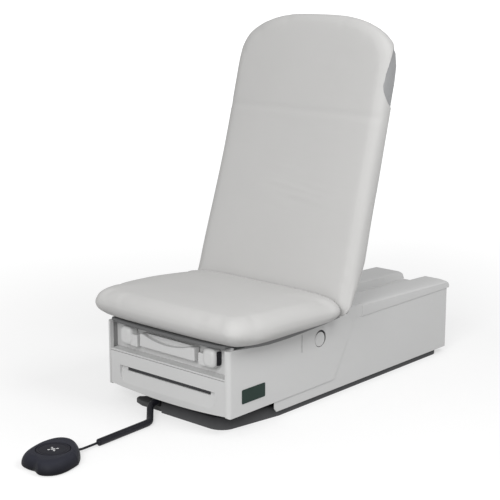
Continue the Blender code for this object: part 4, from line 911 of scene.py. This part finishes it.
def foam_form(outline, low, high, edge, drawn, power, crown, insets, waist=0.5):
    """The foam of a pad, lying flat: rolled sides, widest at the waist, and a crowned face."""
    middle, pairs = low + waist * (high - low), []
    for i in range(ROLL_STEPS + 1):
        turn = math.radians(-90 + 180 * i / ROLL_STEPS)
        out = abs(math.cos(turn)) ** (2 / power)
        up = math.copysign(abs(math.sin(turn)) ** (2 / power), math.sin(turn))
        inset, rise = (drawn, middle - low) if turn < 0 else (edge, high - middle)
        pairs.append((inset * (1 - out), middle + rise * up))
    for inset in insets:
        share = 1 - (inset - edge) / (insets[-1] - edge)
        pairs.append((inset, high + crown * (1 - share * share)))
    return loft([[(x, y, height) for x, y in outline(inset)] for inset, height in pairs])


print("foam in", ROLL_STEPS, "steps round its sides")

# %% Blowing up a pad
CLOTH_FRAMES = 20
CLOTH = {"quality": 4, "mass": 0.4, "tension_stiffness": 18.0, "compression_stiffness": 18.0,
         "shear_stiffness": 6.0, "bending_stiffness": 0.6, "air_damping": 4.0, "use_pressure": True,
         "uniform_pressure_force": 4.0, "vertex_group_mass": "held"}


def blown_up(obj, voxel, limit, held):
    """Remeshes a pad, inflates it by cloth simulation and limits each point's move."""
    remesh = obj.modifiers.new("even_squares", "REMESH")
    remesh.mode = "VOXEL"
    remesh.voxel_size = voxel
    apply_modifiers(obj)
    start = [v.co.copy() for v in obj.data.vertices]
    group = obj.vertex_groups.new(name="held")
    group.add([v.index for v in obj.data.vertices if held(v.co)], 1.0, "REPLACE")
    cloth = obj.modifiers.new("inflate", "CLOTH")
    for name, setting in CLOTH.items():
        setattr(cloth.settings, name, setting)
    cloth.settings.effector_weights.gravity = 0.0
    cloth.collision_settings.use_collision = False
    cloth.point_cache.frame_start = 1
    cloth.point_cache.frame_end = CLOTH_FRAMES
    for step in range(1, CLOTH_FRAMES + 1):
        scene.frame_set(step)
    apply_modifiers(obj)
    scene.frame_set(1)
    for vert, before in zip(obj.data.vertices, start):
        move = vert.co - before
        vert.co = before + move * (limit / math.sqrt(limit * limit + move.length_squared))


print("cloth runs for", CLOTH_FRAMES, "frames")


# %% Finishing a pad
def finish_pad(obj, rounds=2):
    """One smooth subdivision, after a few rounds of evening out."""
    form = bmesh.new()
    form.from_mesh(obj.data)
    for _ in range(rounds):
        bmesh.ops.smooth_vert(form, verts=form.verts[:], factor=0.5, use_axis_x=True, use_axis_y=True,
                              use_axis_z=True)
    form.to_mesh(obj.data)
    form.free()
    obj.vertex_groups.clear()
    finer = obj.modifiers.new("finer", "SUBSURF")
    finer.levels = finer.render_levels = 1
    apply_modifiers(obj)


def span(obj, axis):
    places = [v.co[axis] for v in obj.data.vertices]
    return min(places), max(places)


def fitted(obj, low, high):
    """Stretches a pad by the last millimetres, so that it fills the room of its solid."""
    for axis in range(3):
        least, most = span(obj, axis)
        for vert in obj.data.vertices:
            vert.co[axis] = low[axis] + (vert.co[axis] - least) * (high[axis] - low[axis]) / (most - least)


def upholster(obj, body, node):
    obj.data.materials.clear()
    obj.data.materials.append(vinyl)
    for face in obj.data.polygons:
        face.use_smooth = True
    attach(obj, body)
    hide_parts(node)
    low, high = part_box(node)
    for axis, letter in enumerate("xyz"):
        mine = [round(m, 4) for m in span(obj, axis)]
        print(obj.name, letter, mine, "solid", round(low[axis], 4), round(high[axis], 4))


print("pad tools ready")

# %% [markdown]
# ## Seat pad
#
# The seat bows out in front, and its lower front edge is tucked under. Its sides droop towards the rear,
# and its rear edge stays clear of the round heel of the backrest, which turns about the hinge. These are
# small moves of the points after the simulation, because they follow the real cut of the foam.

# %% Seat foam
SEAT_HALF = 0.370
SEAT_BOTTOM, SEAT_RIM, SEAT_CROWN = 0.308, 0.402, 0.008
SEAT_FRONT, SEAT_REAR = -0.668, -0.112
SEAT_FRONT_CORNER, SEAT_REAR_CORNER = (0.070, 0.200, 2.3), (0.080, 0.070, 2.0)
SEAT_BOW = 0.017
HELD_HEIGHT, PAD_LIFT = 0.004, 0.0002


def seat_plan(inset):
    half, low, high = SEAT_HALF - inset, SEAT_FRONT + inset, SEAT_REAR - inset
    corner = smaller(SEAT_FRONT_CORNER, inset * CORNER_SHARE, half)
    points = rounded_plan(half, low, high, corner, smaller(SEAT_REAR_CORNER, inset, half))
    near = [max(0.0, min(1.0, (low + corner[1] - y) / corner[1])) for x, y in points]
    return [(x, y - SEAT_BOW * (1 - (x / half) ** 2) * n) for (x, y), n in zip(points, near)]


foam = foam_form(seat_plan, SEAT_BOTTOM, SEAT_RIM, edge=0.072, drawn=0.046, power=2.2, crown=SEAT_CROWN,
                 insets=(0.095, 0.130, 0.165, 0.205), waist=0.43)
seat_pad = loose_object("seat_pad", foam)
blown_up(seat_pad, voxel=0.008, limit=0.006, held=lambda p: p.z < SEAT_BOTTOM + HELD_HEIGHT)
finish_pad(seat_pad)
fitted(seat_pad, (-SEAT_HALF, SEAT_FRONT - SEAT_BOW, SEAT_BOTTOM + PAD_LIFT),
       (SEAT_HALF, SEAT_REAR, SEAT_RIM + SEAT_CROWN))
print("seat foam:", len(seat_pad.data.polygons), "faces")

# %% Seat tuck, tilt and droop
HINGE = Vector((0.0, -0.080, 0.355))
HEEL_ROOM = 0.0605
SEAT_TILT = -0.030
SEAT_TUCK, TUCK_FROM_Y, TUCK_RUN, TUCK_POWER = 0.018, -0.50, 0.14, 1.3
SEAT_DROOP, DROOP_FROM_X, DROOP_FROM_Y, DROOP_RUN = 0.014, 0.21, -0.42, 0.28

for vert in seat_pad.data.vertices:
    rise = (vert.co.z - SEAT_BOTTOM) / (SEAT_RIM - SEAT_BOTTOM)
    under = max(0.0, 1 - 2 * rise) ** TUCK_POWER
    vert.co.y += SEAT_TUCK * under * eased((TUCK_FROM_Y - vert.co.y) / TUCK_RUN)
    vert.co.z += SEAT_TILT * (vert.co.y - (SEAT_FRONT + SEAT_REAR) / 2) * rise
    aside = eased((abs(vert.co.x) - DROOP_FROM_X) / (SEAT_HALF - DROOP_FROM_X))
    vert.co.z -= SEAT_DROOP * max(0.0, rise) * aside * eased((vert.co.y - DROOP_FROM_Y) / DROOP_RUN)
    reach = Vector((0.0, vert.co.y - HINGE.y, vert.co.z - HINGE.z))
    if reach.length < HEEL_ROOM:
        vert.co += reach.normalized() * (HEEL_ROOM - reach.length)
upholster(seat_pad, "carriage", "seat_cushion")

# %% [markdown]
# ## Backrest pad
#
# The pad is made lying flat, with x across it, u along it from the hinge and v out of its face, and is
# turned up about the hinge at the end. Board, hinge and grips get their room by boolean cuts, which keep
# the curved foam around them as it is. Faint wrinkles, one crease across the face and the forward bend of
# the upper part come last, because the remesh would wipe them out.

# %% Backrest foam
BACK_HALF, BACK_WIDEST = 0.3565, 0.3695
BACK_LOW, BACK_HIGH = -0.055, 1.0144
BACK_REAR, BACK_FACE, BACK_CROWN = -0.0365, 0.046, 0.004
BACK_LOW_CORNER, BACK_TOP_CORNER = (0.050, 0.050, 2.0), (0.310, 0.2215, 2.35)
LOW_FLARE, LOW_FLARE_RUN = 0.0134, 0.326
TOP_FLARE, TOP_FLARE_U, TOP_FLARE_RUN = 0.0148, 0.938, 0.071
HEEL_TAPER, HEEL_FROM, HEEL_PIVOT, HEEL_POWER = 0.055, 0.155, 0.026, 1.2


def hump(place, middle, run):
    """A bell curve: 1 at the middle, fading over the run."""
    return math.exp(-((place - middle) / run) ** 2)


def back_plan(inset):
    half = BACK_HALF - inset
    points = rounded_plan(half, BACK_LOW + inset, BACK_HIGH - inset, smaller(BACK_LOW_CORNER, inset, half),
                          smaller(BACK_TOP_CORNER, inset * CORNER_SHARE, half), between=24)
    widened = []
    for x, u in points:
        flare = LOW_FLARE * hump(max(u, 0.0), 0.0, LOW_FLARE_RUN)
        flare += TOP_FLARE * hump(u, TOP_FLARE_U, TOP_FLARE_RUN)
        widened.append((x * (1 + flare / BACK_HALF), u))
    return widened


foam = foam_form(back_plan, BACK_REAR, BACK_FACE, edge=0.052, drawn=0.024, power=2.7, crown=BACK_CROWN,
                 insets=(0.09, 0.16, 0.25))
back_pad = loose_object("back_pad", foam)
blown_up(back_pad, voxel=0.009, limit=0.005, held=lambda p: p.z < BACK_REAR + HELD_HEIGHT)
finish_pad(back_pad)
fitted(back_pad, (-BACK_WIDEST, BACK_LOW, BACK_REAR + PAD_LIFT),
       (BACK_WIDEST, BACK_HIGH, BACK_FACE + BACK_CROWN))
for vert in back_pad.data.vertices:
    share = max(0.0, (HEEL_PIVOT - vert.co.z) / (HEEL_PIVOT - BACK_REAR))
    near = max(0.0, HEEL_FROM - vert.co.y) / (HEEL_FROM - BACK_LOW)
    vert.co.z += HEEL_TAPER * share * near ** HEEL_POWER
print("backrest foam:", len(back_pad.data.polygons), "faces")

# %% Room for board, hinge and grips
GRIP_U, GRIP_BELOW, GRIP_ABOVE, GRIP_DEPTH = 0.768, 0.0685, 0.1655, 0.0685
GRIP_INNER, GRIP_PAST = BACK_HALF - 0.040, 0.03
BOARD_HALF, BOARD_LOW, BOARD_HIGH, BOARD_FRONT = 0.3111, 0.0454, 0.9810, -0.0266
BOARD_LOW_CORNER, BOARD_TOP_CORNER = (0.03, 0.03, 2.0), (0.274125, 0.2015, 2.35)
HINGE_ROOM_HALF, HINGE_ROOM_HIGH, HINGE_ROOM_FRONT = 0.236, 0.044, 0.0245
OUTSIDE, OUTSIDE_X = -0.2, 0.5


def grip_room(side):
    """The drop-shaped bite in the pad's edge that the grip insert sits in."""
    shape = quarter((GRIP_U, BACK_REAR), (GRIP_ABOVE, GRIP_DEPTH, 2.0), 0, 24)
    shape += quarter((GRIP_U, BACK_REAR), (GRIP_BELOW, GRIP_DEPTH, 2.0), 90, 18)[1:]
    shape += [(shape[-1][0], BACK_REAR - GRIP_PAST), (shape[0][0], BACK_REAR - GRIP_PAST)]
    return loft([[(side * x, u, v) for u, v in shape] for x in (GRIP_INNER, OUTSIDE_X)])


board_plan = rounded_plan(BOARD_HALF, BOARD_LOW, BOARD_HIGH, BOARD_LOW_CORNER, BOARD_TOP_CORNER)
board_room = loft([[(x, u, v) for x, u in board_plan] for v in (OUTSIDE, BOARD_FRONT)])
hinge_room = slab(-HINGE_ROOM_HALF, HINGE_ROOM_HALF, OUTSIDE, HINGE_ROOM_HIGH, OUTSIDE, HINGE_ROOM_FRONT)
carve(back_pad, hinge_room, board_room, grip_room(1), grip_room(-1))
print("carved backrest foam:", len(back_pad.data.polygons), "faces")

# %% Heel, wrinkles, crease and bend
BACK_ANGLE = math.radians(73.3)
BACK_BEND, BEND_FROM_U, BEND_POWER = 0.0484, 0.4418, 1.5
HEEL_ROUND, HEEL_BELOW_U = 0.0565, 0.01
FACE_FROM_V = 0.02
WRINKLE, WRINKLE_U, WRINKLE_RUN = 0.0011, 0.36, 0.075
WRINKLE_X, WRINKLE_SPREAD = 0.03, 0.16
WRINKLES_ACROSS, WRINKLES_ALONG, WRINKLE_SLANT, WRINKLE_SLICE = 5.0, 52.0, 0.09, 1.7
CREASE, CREASE_U, CREASE_RUN = 0.0017, 0.653, 0.015

for vert in back_pad.data.vertices:
    x, u, v = vert.co
    reach = math.hypot(u, v)
    if u < HEEL_BELOW_U and reach > HEEL_ROUND:
        vert.co.y, vert.co.z = u * HEEL_ROUND / reach, v * HEEL_ROUND / reach
    if v > FACE_FROM_V:
        slack = hump(u, WRINKLE_U, WRINKLE_RUN) * hump(x, WRINKLE_X, WRINKLE_SPREAD)
        along = (u + WRINKLE_SLANT * x) * WRINKLES_ALONG
        vert.co.z += WRINKLE * slack * noise.noise((x * WRINKLES_ACROSS, along, WRINKLE_SLICE))
        vert.co.z -= CREASE * hump(u, CREASE_U, CREASE_RUN)
    vert.co.z += BACK_BEND * max(0.0, u - BEND_FROM_U) ** BEND_POWER
back_pad.data.transform(Matrix.Translation(HINGE) @ Matrix.Rotation(BACK_ANGLE, 4, "X"))
upholster(back_pad, "backrest", "back_cushion")
